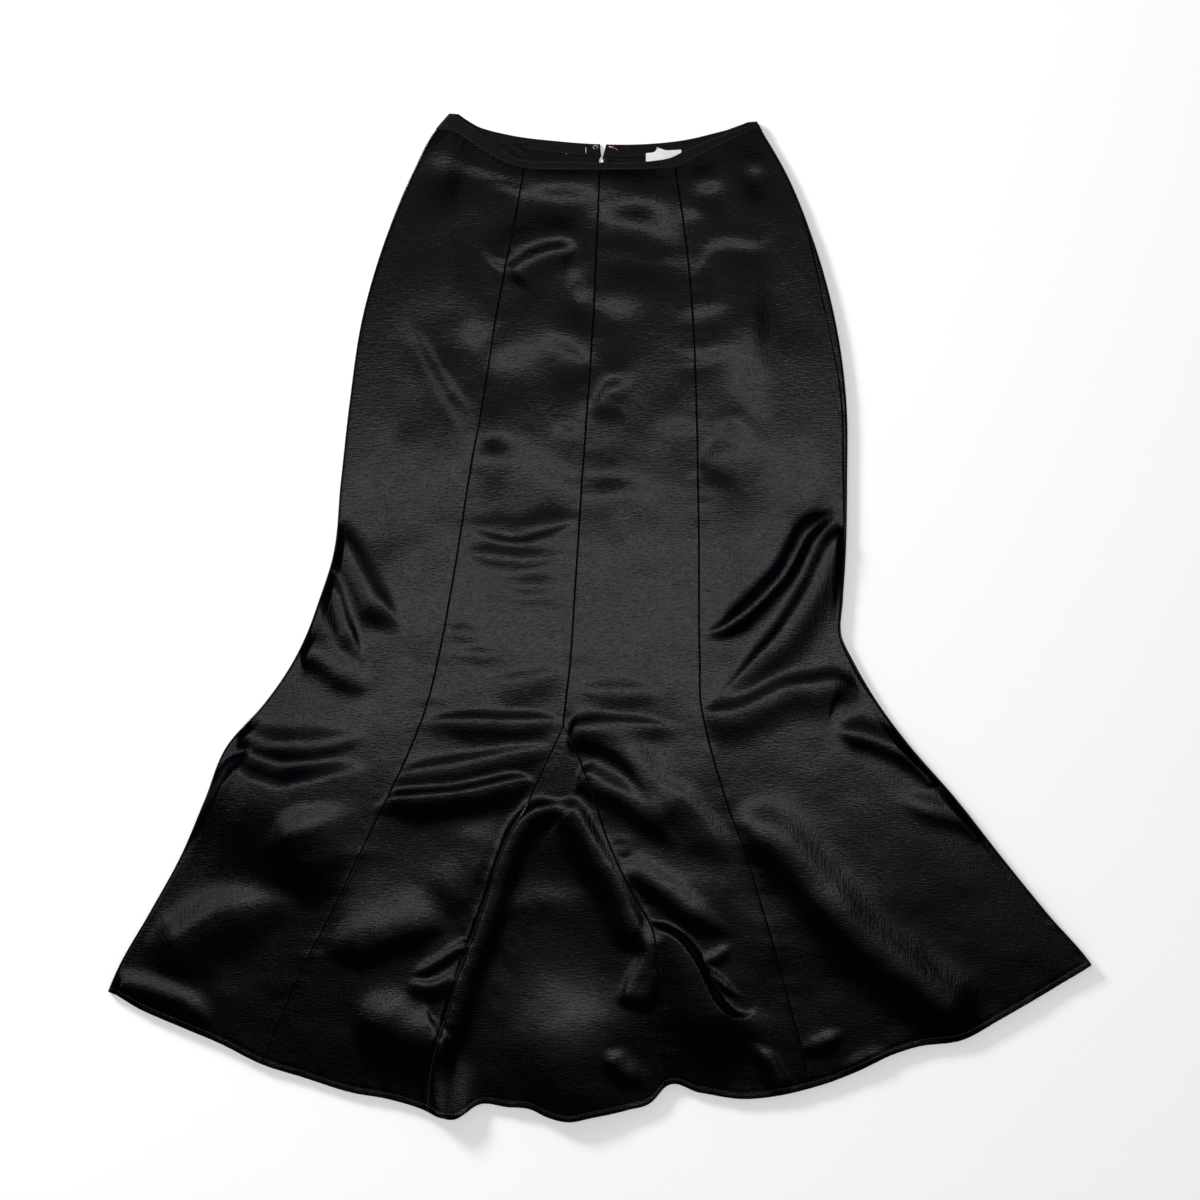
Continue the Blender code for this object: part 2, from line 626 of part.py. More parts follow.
def front_band(name, side, material):
    """Half of the front waistband, from the centre front over the side edge to the side seam."""
    edge = band_edge(side)
    field_edge = edge + inward(edge, side) * FIELD_INSET
    toward = 1.0 if side == "side_right" else -1.0
    middle_x = LEVELS[2].centre + toward * SEAM_GAP / 2
    foot_y = float(smooth_curve(WAIST_SEAM, middle_x))
    top_y = float(smooth_curve(BAND_TOP, middle_x))
    seam_x = line_points("princess_right" if toward > 0 else "princess_left", STATIONS[:1])[0, 0]
    shares = band_shares(field_edge[0, 0], seam_x, middle_x, SIDE_COLUMNS, CENTRE_COLUMNS)
    plan = band_plan(
        field_edge, (middle_x, foot_y), (middle_x, top_y), WAIST_SEAM, BAND_TOP, shares
    )
    field, field_normals = front_field(plan)
    if side == "side_left":
        path = np.array([-ROLL_QUARTER - TUCK_UNDER, *np.linspace(-1.0, 1.0, 5) * ROLL_QUARTER])
        path = np.repeat(path[None, :], len(edge), axis=0)
    else:
        start = right_seam_path(edge) + SEAM_GAP / 2
        share = np.linspace(0.0, 0.8, 4)
        path = start[:, None] + (ROLL_QUARTER + FLAT_MARGIN - start)[:, None] * share
    roll, roll_normals = side_roll(edge, side, path, BAND_CLOTH)
    points = above_waist_seam(np.concatenate([roll, field], axis=1))
    normals = np.concatenate([roll_normals, field_normals], axis=1)
    return make_wall(name, points, normals, BAND_CLOTH, material)


def back_band(name, side, material):
    """Half of the back waistband. Its centre end slants away from the open top of the zip."""
    edge = band_edge(side)
    rolls_up = side == "side_right"
    toward = 1.0 if rolls_up else -1.0
    inset = FIELD_INSET if rolls_up else ROLL_DEPTH + TUCK_UNDER + SEAM_GAP
    field_edge = edge + inward(edge, side) * inset
    foot_x = BACK_LEVELS[0].back_centre + toward * NOTCH_FOOT_HALF_WIDTH
    top_x = BACK_LEVELS[0].back_centre + 1.0 + toward * NOTCH_HALF_WIDTH
    foot = (foot_x, float(smooth_curve(BACK_WAIST_SEAM, foot_x)))
    top = (top_x, float(smooth_curve(BACK_BAND_TOP, top_x)))
    seam_x = line_points("back_right" if rolls_up else "back_left", STATIONS[:1])[0, 0]
    shares = band_shares(field_edge[0, 0], seam_x, foot_x, BACK_COLUMNS, BACK_COLUMNS)
    plan = band_plan(field_edge, foot, top, BACK_WAIST_SEAM, BACK_BAND_TOP, shares)
    points, normals = flat_back(plan, BAND_CLOTH)
    if rolls_up:
        roll, roll_normals = back_roll(edge, side, BAND_CLOTH, 7)
        points = np.concatenate([roll, points], axis=1)
        normals = np.concatenate([roll_normals, normals], axis=1)
    return make_wall(name, above_waist_seam(points), normals, BAND_CLOTH, material)


def flat_strip(name, outline, low, high, material):
    """A flat piece: an outline in plan, extruded from low to high."""
    mesh = bmesh.new()
    face = mesh.faces.new([mesh.verts.new(Vector((x, y, low)) * MM) for x, y in outline])
    raised = bmesh.ops.extrude_face_region(mesh, geom=[face])["geom"]
    moved = [item for item in raised if isinstance(item, bmesh.types.BMVert)]
    bmesh.ops.translate(mesh, verts=moved, vec=Vector((0.0, 0.0, high - low)) * MM)
    bmesh.ops.recalc_face_normals(mesh, faces=mesh.faces[:])
    return finish_object(name, mesh, material)


def zip_tape(name, toward, material):
    """One zip tape on the inside of the back. Its top end turns away from the open notch."""
    low = CLOTH + SEAM_GAP
    levels = np.array([row.y for row in TAPE_ROWS])
    off = np.array([row.off for row in TAPE_ROWS])
    inner_x = line_x("back_centre", levels) + toward * (SEAM_GAP / 2 + off)
    outer_x = inner_x + toward * TAPE_WIDTH
    outline = list(zip(inner_x, levels)) + list(zip(outer_x, levels))[::-1]
    return flat_strip(name, outline, low, low + TAPE_CLOTH, material)


def label(name, size, low, material):
    """A blank label, turned about the upright."""
    turn = np.radians(size.turn)
    across = np.array([np.cos(turn), np.sin(turn)]) * size.width / 2
    down = np.array([np.sin(turn), -np.cos(turn)]) * size.length / 2
    signs = ((-1, -1), (1, -1), (1, 1), (-1, 1))
    outline = [np.array(size.centre) + across * a + down * b for a, b in signs]
    return flat_strip(name, outline, low, low + LABEL_CLOTH, material)


def box(low, high):
    """Mesh of an upright box between two corners."""
    mesh = bmesh.new()
    bmesh.ops.create_cube(mesh, size=1.0)
    size = Vector(high) - Vector(low)
    bmesh.ops.scale(mesh, vec=size * MM, verts=mesh.verts[:])
    bmesh.ops.translate(mesh, vec=(Vector(low) + Vector(high)) * 0.5 * MM, verts=mesh.verts[:])
    return mesh


def rod_along_x(centre, radius, length, sides):
    mesh = bmesh.new()
    bmesh.ops.create_cone(
        mesh, cap_ends=True, segments=sides, radius1=radius * MM, radius2=radius * MM, depth=length * MM
    )
    for vert in mesh.verts:
        vert.co = Vector((vert.co.z, vert.co.y, -vert.co.x)) + Vector(centre) * MM
    bmesh.ops.recalc_face_normals(mesh, faces=mesh.faces[:])
    return mesh


def shape_with(target, mesh, operation):
    """Joins a helper shape to an object, or cuts it away."""
    helper = finish_object(f"{target.name}_{operation.lower()}_{len(target.modifiers)}", mesh,
                           target.data.materials[0])
    helper.hide_render = True
    helper.display_type = "WIRE"
    change = target.modifiers.new(operation.title(), "BOOLEAN")
    change.operation = operation
    change.object = helper
    change.solver = "EXACT"


def zip_slider(name, material):
    """Slider at the top of the zip: a plate outside the cloth, one inside it and a neck between."""
    x = float(line_x("back_centre", SLIDER_TOP))
    half = SLIDER_WIDTH / 2
    foot = SLIDER_TOP - SLIDER_LENGTH
    low = METAL_LOW
    under_tape = low + SLIDER_PLATE
    over_tape = CLOTH + SEAM_GAP + TAPE_CLOTH + SEAM_GAP
    slider = finish_object(name, box((x - half, foot, low), (x + half, SLIDER_TOP, under_tape)), material)
    neck_low = (x - SLIDER_NECK / 2, SLIDER_TOP - SLIDER_NECK_LENGTH, under_tape - JOIN)
    neck_high = (x + SLIDER_NECK / 2, SLIDER_TOP, over_tape + JOIN)
    neck = box(neck_low, neck_high)
    shape_with(slider, neck, "UNION")
    inner = box((x - half, foot, over_tape), (x + half, SLIDER_TOP, over_tape + SLIDER_INNER_PLATE))
    shape_with(slider, inner, "UNION")
    for toward in (-1.0, 1.0):
        lug_inner = x + toward * (PULL_HEAD / 2 + SEAM_GAP)
        lug_outer = x + toward * half
        lug = box(
            (min(lug_inner, lug_outer), foot - LUG_DEPTH, low),
            (max(lug_inner, lug_outer), foot + JOIN, under_tape),
        )
        shape_with(slider, lug, "UNION")
    pin = rod_along_x(pull_axis(), PIN_RADIUS, SLIDER_WIDTH - 2 * PIN_INSET, 10)
    shape_with(slider, pin, "UNION")
    return slider


def pull_axis():
    """Middle of the pull tab's pin, between the slider's lugs."""
    x = float(line_x("back_centre", SLIDER_TOP))
    y = SLIDER_TOP - SLIDER_LENGTH - LUG_DEPTH + PIN_FROM_LUG_END
    return (x, y, METAL_LOW + SLIDER_PLATE / 2)


def zip_pull(name, material):
    """Pull tab: a plate with a narrow head that turns on the slider's pin."""
    axis = Vector(pull_axis())
    low = METAL_LOW
    head_half = PULL_HEAD / 2
    shoulder = axis.y - PULL_SHOULDER
    head_low = (axis.x - head_half, shoulder - 2 * JOIN, low)
    head_high = (axis.x + head_half, axis.y + PULL_HEAD_TOP, low + PULL_HEAD_PLATE)
    pull = finish_object(name, box(head_low, head_high), material)
    half = PULL_WIDTH / 2
    tip = axis.y - PULL_LENGTH
    outline = (
        (-0.45 * half, shoulder), (-half, shoulder - PULL_CORNER), (-half, tip + PULL_CORNER),
        (-0.6 * half, tip), (0.6 * half, tip), (half, tip + PULL_CORNER),
        (half, shoulder - PULL_CORNER), (0.45 * half, shoulder),
    )
    plate = bmesh.new()
    corners = [plate.verts.new(Vector((axis.x + dx, y, low)) * MM) for dx, y in outline]
    raised = bmesh.ops.extrude_face_region(plate, geom=[plate.faces.new(corners)])["geom"]
    moved = [item for item in raised if isinstance(item, bmesh.types.BMVert)]
    bmesh.ops.translate(plate, verts=moved, vec=Vector((0.0, 0.0, PULL_PLATE)) * MM)
    bmesh.ops.recalc_face_normals(plate, faces=plate.faces[:])
    shape_with(pull, plate, "UNION")
    shape_with(pull, rod_along_x(pull_axis(), PIN_HOLE_RADIUS, PULL_HEAD + 2.0, 12), "DIFFERENCE")
    return pull


def wire(name, route, radius, material):
    """A bent wire with closed ends, along the points of its route."""
    curve = bpy.data.curves.new(name, "CURVE")
    curve.dimensions = "3D"
    curve.bevel_depth = radius * MM
    curve.bevel_resolution = 1
    curve.use_fill_caps = True
    spline = curve.splines.new("POLY")
    spline.points.add(len(route) - 1)
    for point, place in zip(spline.points, route):
        point.co = (*(Vector(place) * MM), 1.0)
    curve.materials.append(material)
    made = bpy.data.objects.new(name, curve)
    bpy.context.collection.objects.link(made)
    return made


def hook_and_eye():
    """An eye at the left of the notch and a bent hook at its right, sewn on the band's inside."""
    height = BAND_CLOTH + SEAM_GAP + WIRE_LIFT
    turns = np.radians(np.linspace(-EYE_TURN, EYE_TURN, 11))
    eye_x = EYE_CENTRE[0] + EYE_RADIUS * np.cos(turns)
    eye_y = EYE_CENTRE[1] + EYE_RADIUS * np.sin(turns)
    eye_route = [(x, y, height) for x, y in zip(eye_x, eye_y)]
    wire("eye", eye_route, WIRE_RADIUS, make_material("eye_metal", DARK_METAL, 0.3, 1.0))
    hook_route = [(x, y, height + rise) for x, y, rise in HOOK_ROUTE]
    wire("hook", hook_route, WIRE_RADIUS, make_material("hook_metal", WARM_METAL, 0.3, 1.0))


def build_skirt():
    def satin(name):
        return make_material(f"{name}_satin", BLACK, 0.32)

    def binding(name):
        return make_material(f"{name}_binding", BAND_BLACK, 0.6)

    side_front("front_side_left", "side_left", "princess_left", satin("front_side_left"))
    centre_front("front_centre_left", "princess_left", "godet_left", satin("front_centre_left"))
    godet("front_godet", satin("front_godet"))
    centre_front("front_centre_right", "godet_right", "princess_right", satin("front_centre_right"))
    side_front("front_side_right", "side_right", "princess_right", satin("front_side_right"))
    side_back("back_side_left", "side_left", "back_left", satin("back_side_left"))
    centre_back("back_centre_left", -1.0, satin("back_centre_left"))
    centre_back("back_centre_right", 1.0, satin("back_centre_right"))
    side_back("back_side_right", "side_right", "back_right", satin("back_side_right"))
    front_band("waistband_front_left", "side_left", binding("waistband_front_left"))
    front_band("waistband_front_right", "side_right", binding("waistband_front_right"))
    back_band("waistband_back_left", "side_left", binding("waistband_back_left"))
    back_band("waistband_back_right", "side_right", binding("waistband_back_right"))


def build_trim():
    tape = make_material("zip_tape_cloth", TAPE_BLACK, 0.8)
    zip_tape("zip_tape_left", -1.0, tape)
    zip_tape("zip_tape_right", 1.0, tape)
    metal = make_material("zip_metal", DARK_METAL, 0.35, 1.0)
    zip_slider("zip_slider", metal)
    zip_pull("zip_pull", metal)
    hook_and_eye()
    on_band = BAND_CLOTH + SEAM_GAP
    beige = make_material("tag_paper", BEIGE, 0.7)
    label("tag_beige", TAG, on_band, beige)
    white = make_material("label_cloth", WHITE, 0.8)
    label("label_white", WHITE_LABEL, on_band + LABEL_CLOTH + SEAM_GAP, white)


def centre_on_origin():
    """Moves every shape so that the origin is under the middle of the skirt, on the surface."""
    shift = Matrix.Translation(Vector((-MIDDLE[0], -MIDDLE[1], 0.0)) * MM)
    for made in bpy.data.objects:
        made.data.transform(shift)


clear_scene()
build_skirt()
build_trim()
centre_on_origin()
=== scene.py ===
import math

import bpy
import numpy as np
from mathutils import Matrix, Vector


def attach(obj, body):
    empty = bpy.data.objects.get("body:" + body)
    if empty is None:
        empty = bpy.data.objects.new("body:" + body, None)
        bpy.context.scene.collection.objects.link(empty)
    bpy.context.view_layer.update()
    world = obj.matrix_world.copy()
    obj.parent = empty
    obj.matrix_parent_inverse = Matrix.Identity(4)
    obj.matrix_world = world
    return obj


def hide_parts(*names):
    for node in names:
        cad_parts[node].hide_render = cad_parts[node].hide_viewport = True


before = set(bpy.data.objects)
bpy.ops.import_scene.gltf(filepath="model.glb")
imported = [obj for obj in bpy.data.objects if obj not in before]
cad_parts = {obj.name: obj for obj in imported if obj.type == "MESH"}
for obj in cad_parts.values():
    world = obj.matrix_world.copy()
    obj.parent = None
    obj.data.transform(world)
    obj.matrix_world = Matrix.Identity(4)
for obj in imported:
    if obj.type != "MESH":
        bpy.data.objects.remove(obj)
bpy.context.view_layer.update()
print("frame loaded")

mm = 0.001
middle = (0.7, 1.12)        # the cut's own zero, in millimetres, stands this far off the frame's origin

# lines of the cut in plan, in millimetres: how far right of the middle each one runs at each level
cut = {
    "levels": (530, 513, 470, 400, 315, 230, 145, 60, 20, -20, -45, -90, -130, -190, -250, -310, -365,
               -415, -467, -500),
    "sideLeft": (-156.5, -171.2, -194.5, -223.5, -248.5, -261.4, -270.9, -280.6, -293.6, -308.5, -321,
                 -352, -388, -413.8, -439.4, -472.5, -504, -524, -540, -550),
    "princessLeft": (-70, -73, -79.2, -92, -108.5, -121.7, -136.8, -150, -156.8, -164, -169.3, -180.4,
                     -195, -223, -252, -280.8, -309.7, -331.7, -354, -367),
    "centre": (0.4, 0.4, 0.4, -2.3, -6, -11.7, -17.8, -23.2, -25.8, -28.2, -30, -35.2, -39, -42, -44,
               -46, -47, -48, -49, -50),
    "princessRight": (70, 74, 80.4, 90.8, 98.6, 102.2, 104, 105, 104.9, 105.2, 105.8, 107, 115.4, 132.8,
                      154.1, 172.7, 189, 202.2, 215.5, 219.6),
    "sideRight": (160, 170.1, 195, 223.8, 247.5, 259.4, 260.4, 258.6, 256, 255, 267, 293.5, 323.2, 375.3,
                  422.3, 471, 518, 540, 560, 570),
}
godetCut = {
    "levels": (-113, -145, -190, -235, -290, -322, -365, -415, -467, -516),
    "godetLeft": (-37, -52, -73, -97.8, -117.2, -128.4, -145, -159.6, -175.6, -180.9),
    "godetRight": (-37, -21.7, -5.4, 10.2, 36, 54.5, 60.6, 66.8, 68.5, 69.5),
}
backCut = {
    "levels": (505, 400, 230, 60, -95, -250, -480),
    "backLeft": (-84, -96, -120, -146, -176, -236, -318),
    "backCentre": (3.2, -1, -9, -20, -34, -41, -46),
    "backRight": (84, 94, 106, 112, 120, 172, 250),
}
kneeLevels = {
    "sideLeft": -20, "princessLeft": -95, "godetLeft": -113, "godetRight": -113, "princessRight": -95,
    "sideRight": -20, "backLeft": -95, "backCentre": -113, "backRight": -95,
}
sideEnds = {"sideLeft": (529.7, 513, -391), "sideRight": (521.3, 512, -363)}  # band top, waist, hem

# curves across the skirt, as x and y
waistSeam = ((-171, 513), (-150, 509), (-121, 491), (-102, 480), (-79, 472), (-48, 470), (0, 470),
             (33, 470), (59, 471), (80, 473), (112, 488), (147, 505), (169, 512))
bandTop = ((-156, 529.7), (-129, 512), (-102, 493), (-86, 483), (-69, 479.5), (-38, 479), (0, 478),
           (33, 478), (59, 480), (75, 483), (91, 491), (112, 500), (140, 511), (167, 521.3))
backWaistSeam = ((-171, 513), (-129, 504), (-91, 495), (-48, 488.5), (0, 484.5), (48, 485), (91, 490),
                 (129, 500), (169, 512))
backBandTop = ((-156, 529.7), (-129, 517), (-91, 507), (-48, 501.5), (0, 498), (48, 498), (91, 502.5),
               (129, 511.5), (167, 521.3))
hem = ((-514, -391), (-486, -407), (-436, -429), (-398, -445), (-354, -467), (-310, -481),
       (-259, -497), (-222, -503.5), (-181, -516), (-165, -523), (-150, -524), (-140, -518),
       (-130, -511), (-96, -512), (-70, -515), (-58, -521), (-33, -527.5), (-7, -523), (30, -515),
       (56, -506), (69.5, -491), (106, -497), (150, -503.5), (194, -499), (219, -493), (245, -485),
       (270, -475), (308, -457), (333, -449), (383, -441), (421, -420), (459, -398), (517, -363))
backHem = ((-514, -391), (-400, -436), (-318, -466), (-200, -490), (-100, -498), (0, -492), (69, -482),
           (150, -488), (250, -470), (330, -440), (400, -423), (459, -394), (517, -363))
sideSeamInset = ((-390, 0.4), (-90, 0.4), (-75, 2.4), (-30, 2.3), (0, 0.6), (56, 0.6), (91, 2.1),
                 (159, 4.2), (250, 5.8), (295, 8.2), (337, 8.2), (378, 5.3), (418, 1.2), (521, 0.6))

lay = {
    "frontHeight": 4.2,     # of the front over the surface
    "waistLift": 1.0,       # the band stands over the zip and labels
    "waistLiftFoot": 380,
    "waistLiftRun": 60,
    "flareLoft": 1.4,       # slack in the flare, most of it gone again at the hem
    "flareLoftTop": -40,
    "flareLoftRun": 120,
    "flareFallTop": -170,
    "flareFallRun": 300,
    "flareFall": 0.9,
    "rollDepth": 2.5,       # of the side edge
    "flatMargin": 7.0,
    "tuckUnder": 6.0,       # the left side seam lies this far under
    "lowest": 1.6,          # the front never sinks into the back
    "torsoShare": 0.5,      # folds above the knees are pulled flatter by this
    "flareShare": 0.52,
    "spacing": 2.2,         # between points of the front
    "fieldRun": 45,         # from the side edge to full slack
    "beltFoot": 455,        # folds are held flatter from here up
    "clearOfFloor": 0.25,   # no cloth lies lower
}
# how high, how wide and which draw: soft waviness all over the front
waviness = ((0.5, 58, 3), (0.16, 26, 5), (0.03, 11, 8))
# at the waist a panel's edges follow the band, and at its foot the hem
follow = {"waistEnd": 0.35, "hemStart": 1.15, "hemPower": 1.6, "endReach": 25,
          "levelShare": 0.85, "levelFoot": 455, "levelRun": 50}
rollQuarter = 3.4
fieldInset = lay["rollDepth"] + lay["flatMargin"]


def smoothCurve(places, values, at):
    order = np.argsort(places)
    places = np.asarray(places, float)[order]
    values = np.asarray(values, float)[order]
    slopes = np.gradient(values, places)
    at = np.clip(np.asarray(at, float), places[0], places[-1])
    step = np.clip(np.searchsorted(places, at) - 1, 0, len(places) - 2)
    width = places[step + 1] - places[step]
    t = (at - places[step]) / width
    start = (2 * t**3 - 3 * t**2 + 1) * values[step] + (t**3 - 2 * t**2 + t) * width * slopes[step]
    end = (3 * t**2 - 2 * t**3) * values[step + 1] + (t**3 - t**2) * width * slopes[step + 1]
    return start + end


def curveY(curve, x):
    return smoothCurve([p[0] for p in curve], [p[1] for p in curve], x)


def ease(value):
    share = np.clip(value, 0, 1)
    return share * share * (3 - 2 * share)


def lineX(line, y):
    if line in godetCut:
        below = smoothCurve(godetCut["levels"], godetCut[line], y)
        above = smoothCurve(cut["levels"], cut["centre"], y)
        return np.where(np.asarray(y) < godetCut["levels"][0], below, above)
    table = backCut if line in backCut else cut
    return smoothCurve(table["levels"], table[line], y)


def lineEnds(line):
    if line in sideEnds:
        return sideEnds[line][1:]
    ends = []
    for curve, level in ((backWaistSeam if line in backCut else waistSeam, 480),
                         (backHem if line in backCut else hem, -490)):
        for _ in range(8):
            level = float(curveY(curve, lineX(line, level)))
        ends.append(level)
    return ends


def linePoints(line, stations):
    waist, foot = lineEnds(line)
    knee = kneeLevels[line]
    y = waist + (knee - waist) * np.minimum(stations, 1) + (foot - knee) * np.maximum(stations - 1, 0)
    return np.stack([lineX(line, y), y], axis=1)


def inward(points, side):
    y = points[:, 1]
    run = (lineX(side, y + 1) - lineX(side, y - 1)) / 2
    level = ease((y - follow["levelFoot"]) / follow["levelRun"])
    run = run * (1 - follow["levelShare"] * level)      # level at the waist
    across = np.stack([np.ones_like(run), -run], axis=1)
    across /= np.linalg.norm(across, axis=1, keepdims=True)
    return across if side == "sideLeft" else -across


def edgeDistance(x, y):
    found = []
    for side, sign in (("sideLeft", 1), ("sideRight", -1)):
        run = lineX(side, y + 1) - lineX(side, y - 1)
        found.append(sign * (x - lineX(side, y)) * 2 / np.hypot(run, 2))
    return np.minimum(*found)


# smooth uneven ground, the same each time: random heights on a lattice, blended between
def uneven(x, y, cell, seed, stretch=1.0):
    rng = np.random.default_rng(seed)
    lattice = rng.uniform(-1, 1, (256, 256))
    turn = 0.6 * seed
    u = (x * math.cos(turn) + y * math.sin(turn)) / cell + 64.3
    v = (y * math.cos(turn) - x * math.sin(turn)) / (cell * stretch) + 57.7
    i = np.floor(u).astype(int)
    j = np.floor(v).astype(int)
    s = u - i
    t = v - j
    s = s * s * s * (s * (6 * s - 15) + 10)
    t = t * t * t * (t * (6 * t - 15) + 10)
    i %= 255
    j %= 255
    low = lattice[i, j] * (1 - s) + lattice[i + 1, j] * s
    high = lattice[i, j + 1] * (1 - s) + lattice[i + 1, j + 1] * s
    return low * (1 - t) + high * t


# folds, in millimetres: rise of the crest (under zero for a trough), reach on the left and on the right
# of the way it runs, share of its length for coming up and for dying away, and the points of its crest
folds = {
    "sideLeft": (
        (-1.6, 16, 22, 0.4, 0.4, ((-240, 176), (-240, 140), (-234, 100), (-222, 60), (-208, 34))),
        (6.5, 12, 21, 0.05, 0.35, ((-282, 92), (-266, 76), (-251, 48), (-236, 22), (-219, 2), (-204, -14))),
        (5.5, 8, 15, 0.05, 0.4, ((-290, 44), (-279, 31), (-269, 1), (-259, -24), (-247, -48))),
        (4.5, 22, 16, 0.1, 0.5, ((-314, -34), (-296, -38), (-276, -52), (-256, -66), (-230, -72))),
        (4.2, 15, 14, 0.08, 0.5, ((-380, -117), (-350, -131), (-320, -135), (-290, -132), (-236, -120))),
        (11.0, 20, 70, 0.1, 0.5, ((-396, -150), (-375, -167), (-355, -176), (-335, -181), (-310, -177),
                                 (-280, -169), (-232, -158))),
        (7.0, 46, 30, 0.3, 0.5, ((-330, -196), (-314, -230), (-303, -270), (-296, -312))),
        (6.0, 24, 36, 0.25, 0.4, ((-482, -352), (-440, -338), (-402, -316), (-366, -306), (-335, -302),
                                  (-316, -308))),
        (3.4, 14, 12, 0.1, 0.3, ((-514, -384), (-480, -388), (-455, -395), (-431, -407), (-416, -420),
                                 (-410, -438))),
    ),
    "centreLeft": (
        (2.8, 15, 9, 0.35, 0.3, ((-142, 102), (-112, 93), (-90, 89), (-66, 94), (-42, 101), (-18, 106))),
        (2.0, 10, 10, 0.3, 0.5, ((-146, 70), (-110, 66), (-75, 63), (-28, 68))),
        (1.2, 10, 8, 0.5, 0.5, ((-112, 38), (-70, 34), (-32, 37))),
        (0.8, 9, 9, 0.5, 0.5, ((-98, 12), (-60, 10), (-34, 13))),
        (1.1, 8, 9, 0.5, 0.5, ((-166, -15), (-142, -15), (-120, -22))),
        (0.9, 7, 9, 0.5, 0.5, ((-162, -38), (-125, -38), (-92, -41))),
        (1.8, 10, 21, 0.5, 0.35, ((-134, -70), (-80, -66), (-55, -62), (-30, -57))),
        (3.6, 8, 17, 0.4, 0.3, ((-196, -109), (-150, -107), (-100, -108), (-50, -108), (-30, -110))),
        (3.4, 9, 19, 0.3, 0.3, ((-226, -184), (-202, -164), (-180, -159), (-150, -154), (-100, -145),
                                 (-40, -133))),
        (6.0, 8, 20, 0.3, 0.2, ((-240, -204), (-216, -190), (-185, -187), (-150, -184), (-120, -178),
                                 (-98, -173), (-80, -170), (-62, -175))),
        (2.6, 16, 28, 0.3, 0.3, ((-104, -206), (-124, -244), (-142, -280), (-160, -318))),
        (5.5, 28, 18, 0.3, 0.3, ((-290, -352), (-250, -342), (-215, -330), (-185, -322), (-156, -324))),
        (2.2, 6, 6, 0.3, 0.1, ((-203, -378), (-180, -366), (-155, -351), (-134, -338))),
        (2.8, 6, 11, 0.2, 0.3, ((-203, -379), (-178, -386), (-160, -379), (-146, -362))),
        (6.5, 28, 30, 0.4, 0.15, ((-262, -402), (-228, -420), (-202, -437), (-172, -442), (-156, -434))),
    ),
    "godet": (
        (7.0, 17, 9, 0.1, 0.01, ((-30, -192), (-50, -198), (-66, -202), (-80, -213), (-90, -228),
                                    (-98, -248), (-106, -272), (-114, -300), (-126, -335), (-139, -370),
                                    (-149, -400), (-158, -430), (-165, -450), (-170, -475), (-173, -524))),
        (6.0, 12, 20, 0.1, 0.2, ((-44, -192), (-28, -203), (-15, -225), (0, -250), (12, -268),
                                 (24, -293), (34, -315), (44, -338), (52, -360))),
        (3.0, 14, 9, 0.3, 0.4, ((4, -452), (26, -476), (50, -492))),
    ),
    "centreRight": (
        (1.7, 10, 14, 0.4, 0.5, ((-30, -74), (10, -76), (45, -78), (76, -85))),
        (3.0, 8, 16, 0.2, 0.5, ((-38, -117), (-20, -112), (0, -110), (40, -112), (96, -116))),
        (4.2, 20, 12, 0.06, 0.4, ((-36, -121), (-10, -126), (10, -132), (28, -143), (45, -165),
                                  (60, -190), (84, -230))),
        (4.8, 13, 16, 0.1, 0.4, ((-24, -158), (0, -173), (22, -184), (45, -200), (66, -222), (84, -246))),
        (3.2, 14, 26, 0.3, 0.4, ((60, -166), (90, -195), (115, -225), (137, -266))),
        (4.2, 16, 13, 0.15, 0.4, ((18, -260), (45, -270), (70, -288), (95, -308), (120, -323),
                                  (146, -332))),
        (9.0, 8, 50, 0.15, 0.3, ((46, -318), (66, -329), (80, -337), (92, -350), (103, -368),
                                 (113, -390), (124, -408), (138, -419), (154, -420), (172, -404))),
        (1.8, 6, 7, 0.3, 0.4, ((106, -361), (125, -353), (140, -340))),
        (2.2, 5, 5, 0.3, 0.5, ((109, -362), (124, -378), (140, -392), (154, -400))),
        (3.0, 8, 12, 0.4, 0.3, ((156, -444), (178, -464), (190, -486), (198, -504))),
    ),
    "sideRight": (
        (-2.6, 14, 19, 0.3, 0.3, ((106, 142), (124, 167), (138, 190), (147, 214))),
        (-3.0, 14, 30, 0.3, 0.3, ((238, 178), (218, 118), (200, 86), (180, 56), (154, 26), (120, 0))),
        (6.5, 11, 9, 0.2, 0.25, ((252, 112), (233, 104), (216, 92), (205, 72), (192, 48), (172, 26),
                                 (152, 6), (135, -8), (106, -18))),
        (6.0, 24, 10, 0.05, 0.4, ((264, 88), (246, 80), (236, 62), (224, 35), (208, 8), (190, -18),
                                  (168, -42), (145, -66), (118, -92))),
        (5.2, 12, 24, 0.15, 0.2, ((104, -100), (145, -98), (170, -87), (192, -76), (220, -71),
                                  (250, -68), (276, -84))),
        (5.0, 14, 12, 0.2, 0.1, ((246, -116), (282, -124), (315, -138), (342, -154), (364, -172))),
        (3.0, 16, 12, 0.4, 0.1, ((310, -188), (345, -200), (386, -212), (410, -226))),
        (8.5, 30, 24, 0.15, 0.15, ((134, -202), (160, -215), (185, -236), (212, -266), (240, -300),
                                   (268, -335), (300, -361), (335, -387), (372, -415), (404, -440))),
        (2.6, 10, 9, 0.4, 0.4, ((208, -454), (235, -446), (258, -432))),
        (2.2, 10, 8, 0.4, 0.4, ((250, -474), (280, -464), (310, -452))),
    ),
}

# small dents with a raised rim: centre, half width and half length, turn in degrees, rise, rim
dents = (
    ((-120, -264), (5, 9), 10, 0.3, 6),
    ((-135, -318), (5, 11), 10, 0.3, 6),
    ((22, -237), (9, 5), 10, 0.35, 6),
    ((28, -251), (8, 5), 10, 0.35, 6),
    ((-80, -311), (6, 10), 12, 0.3, 7),
    ((-90, -344), (6, 10), 12, 0.3, 7),
    ((-107, -398), (8, 14), 10, 0.4, 9),
)

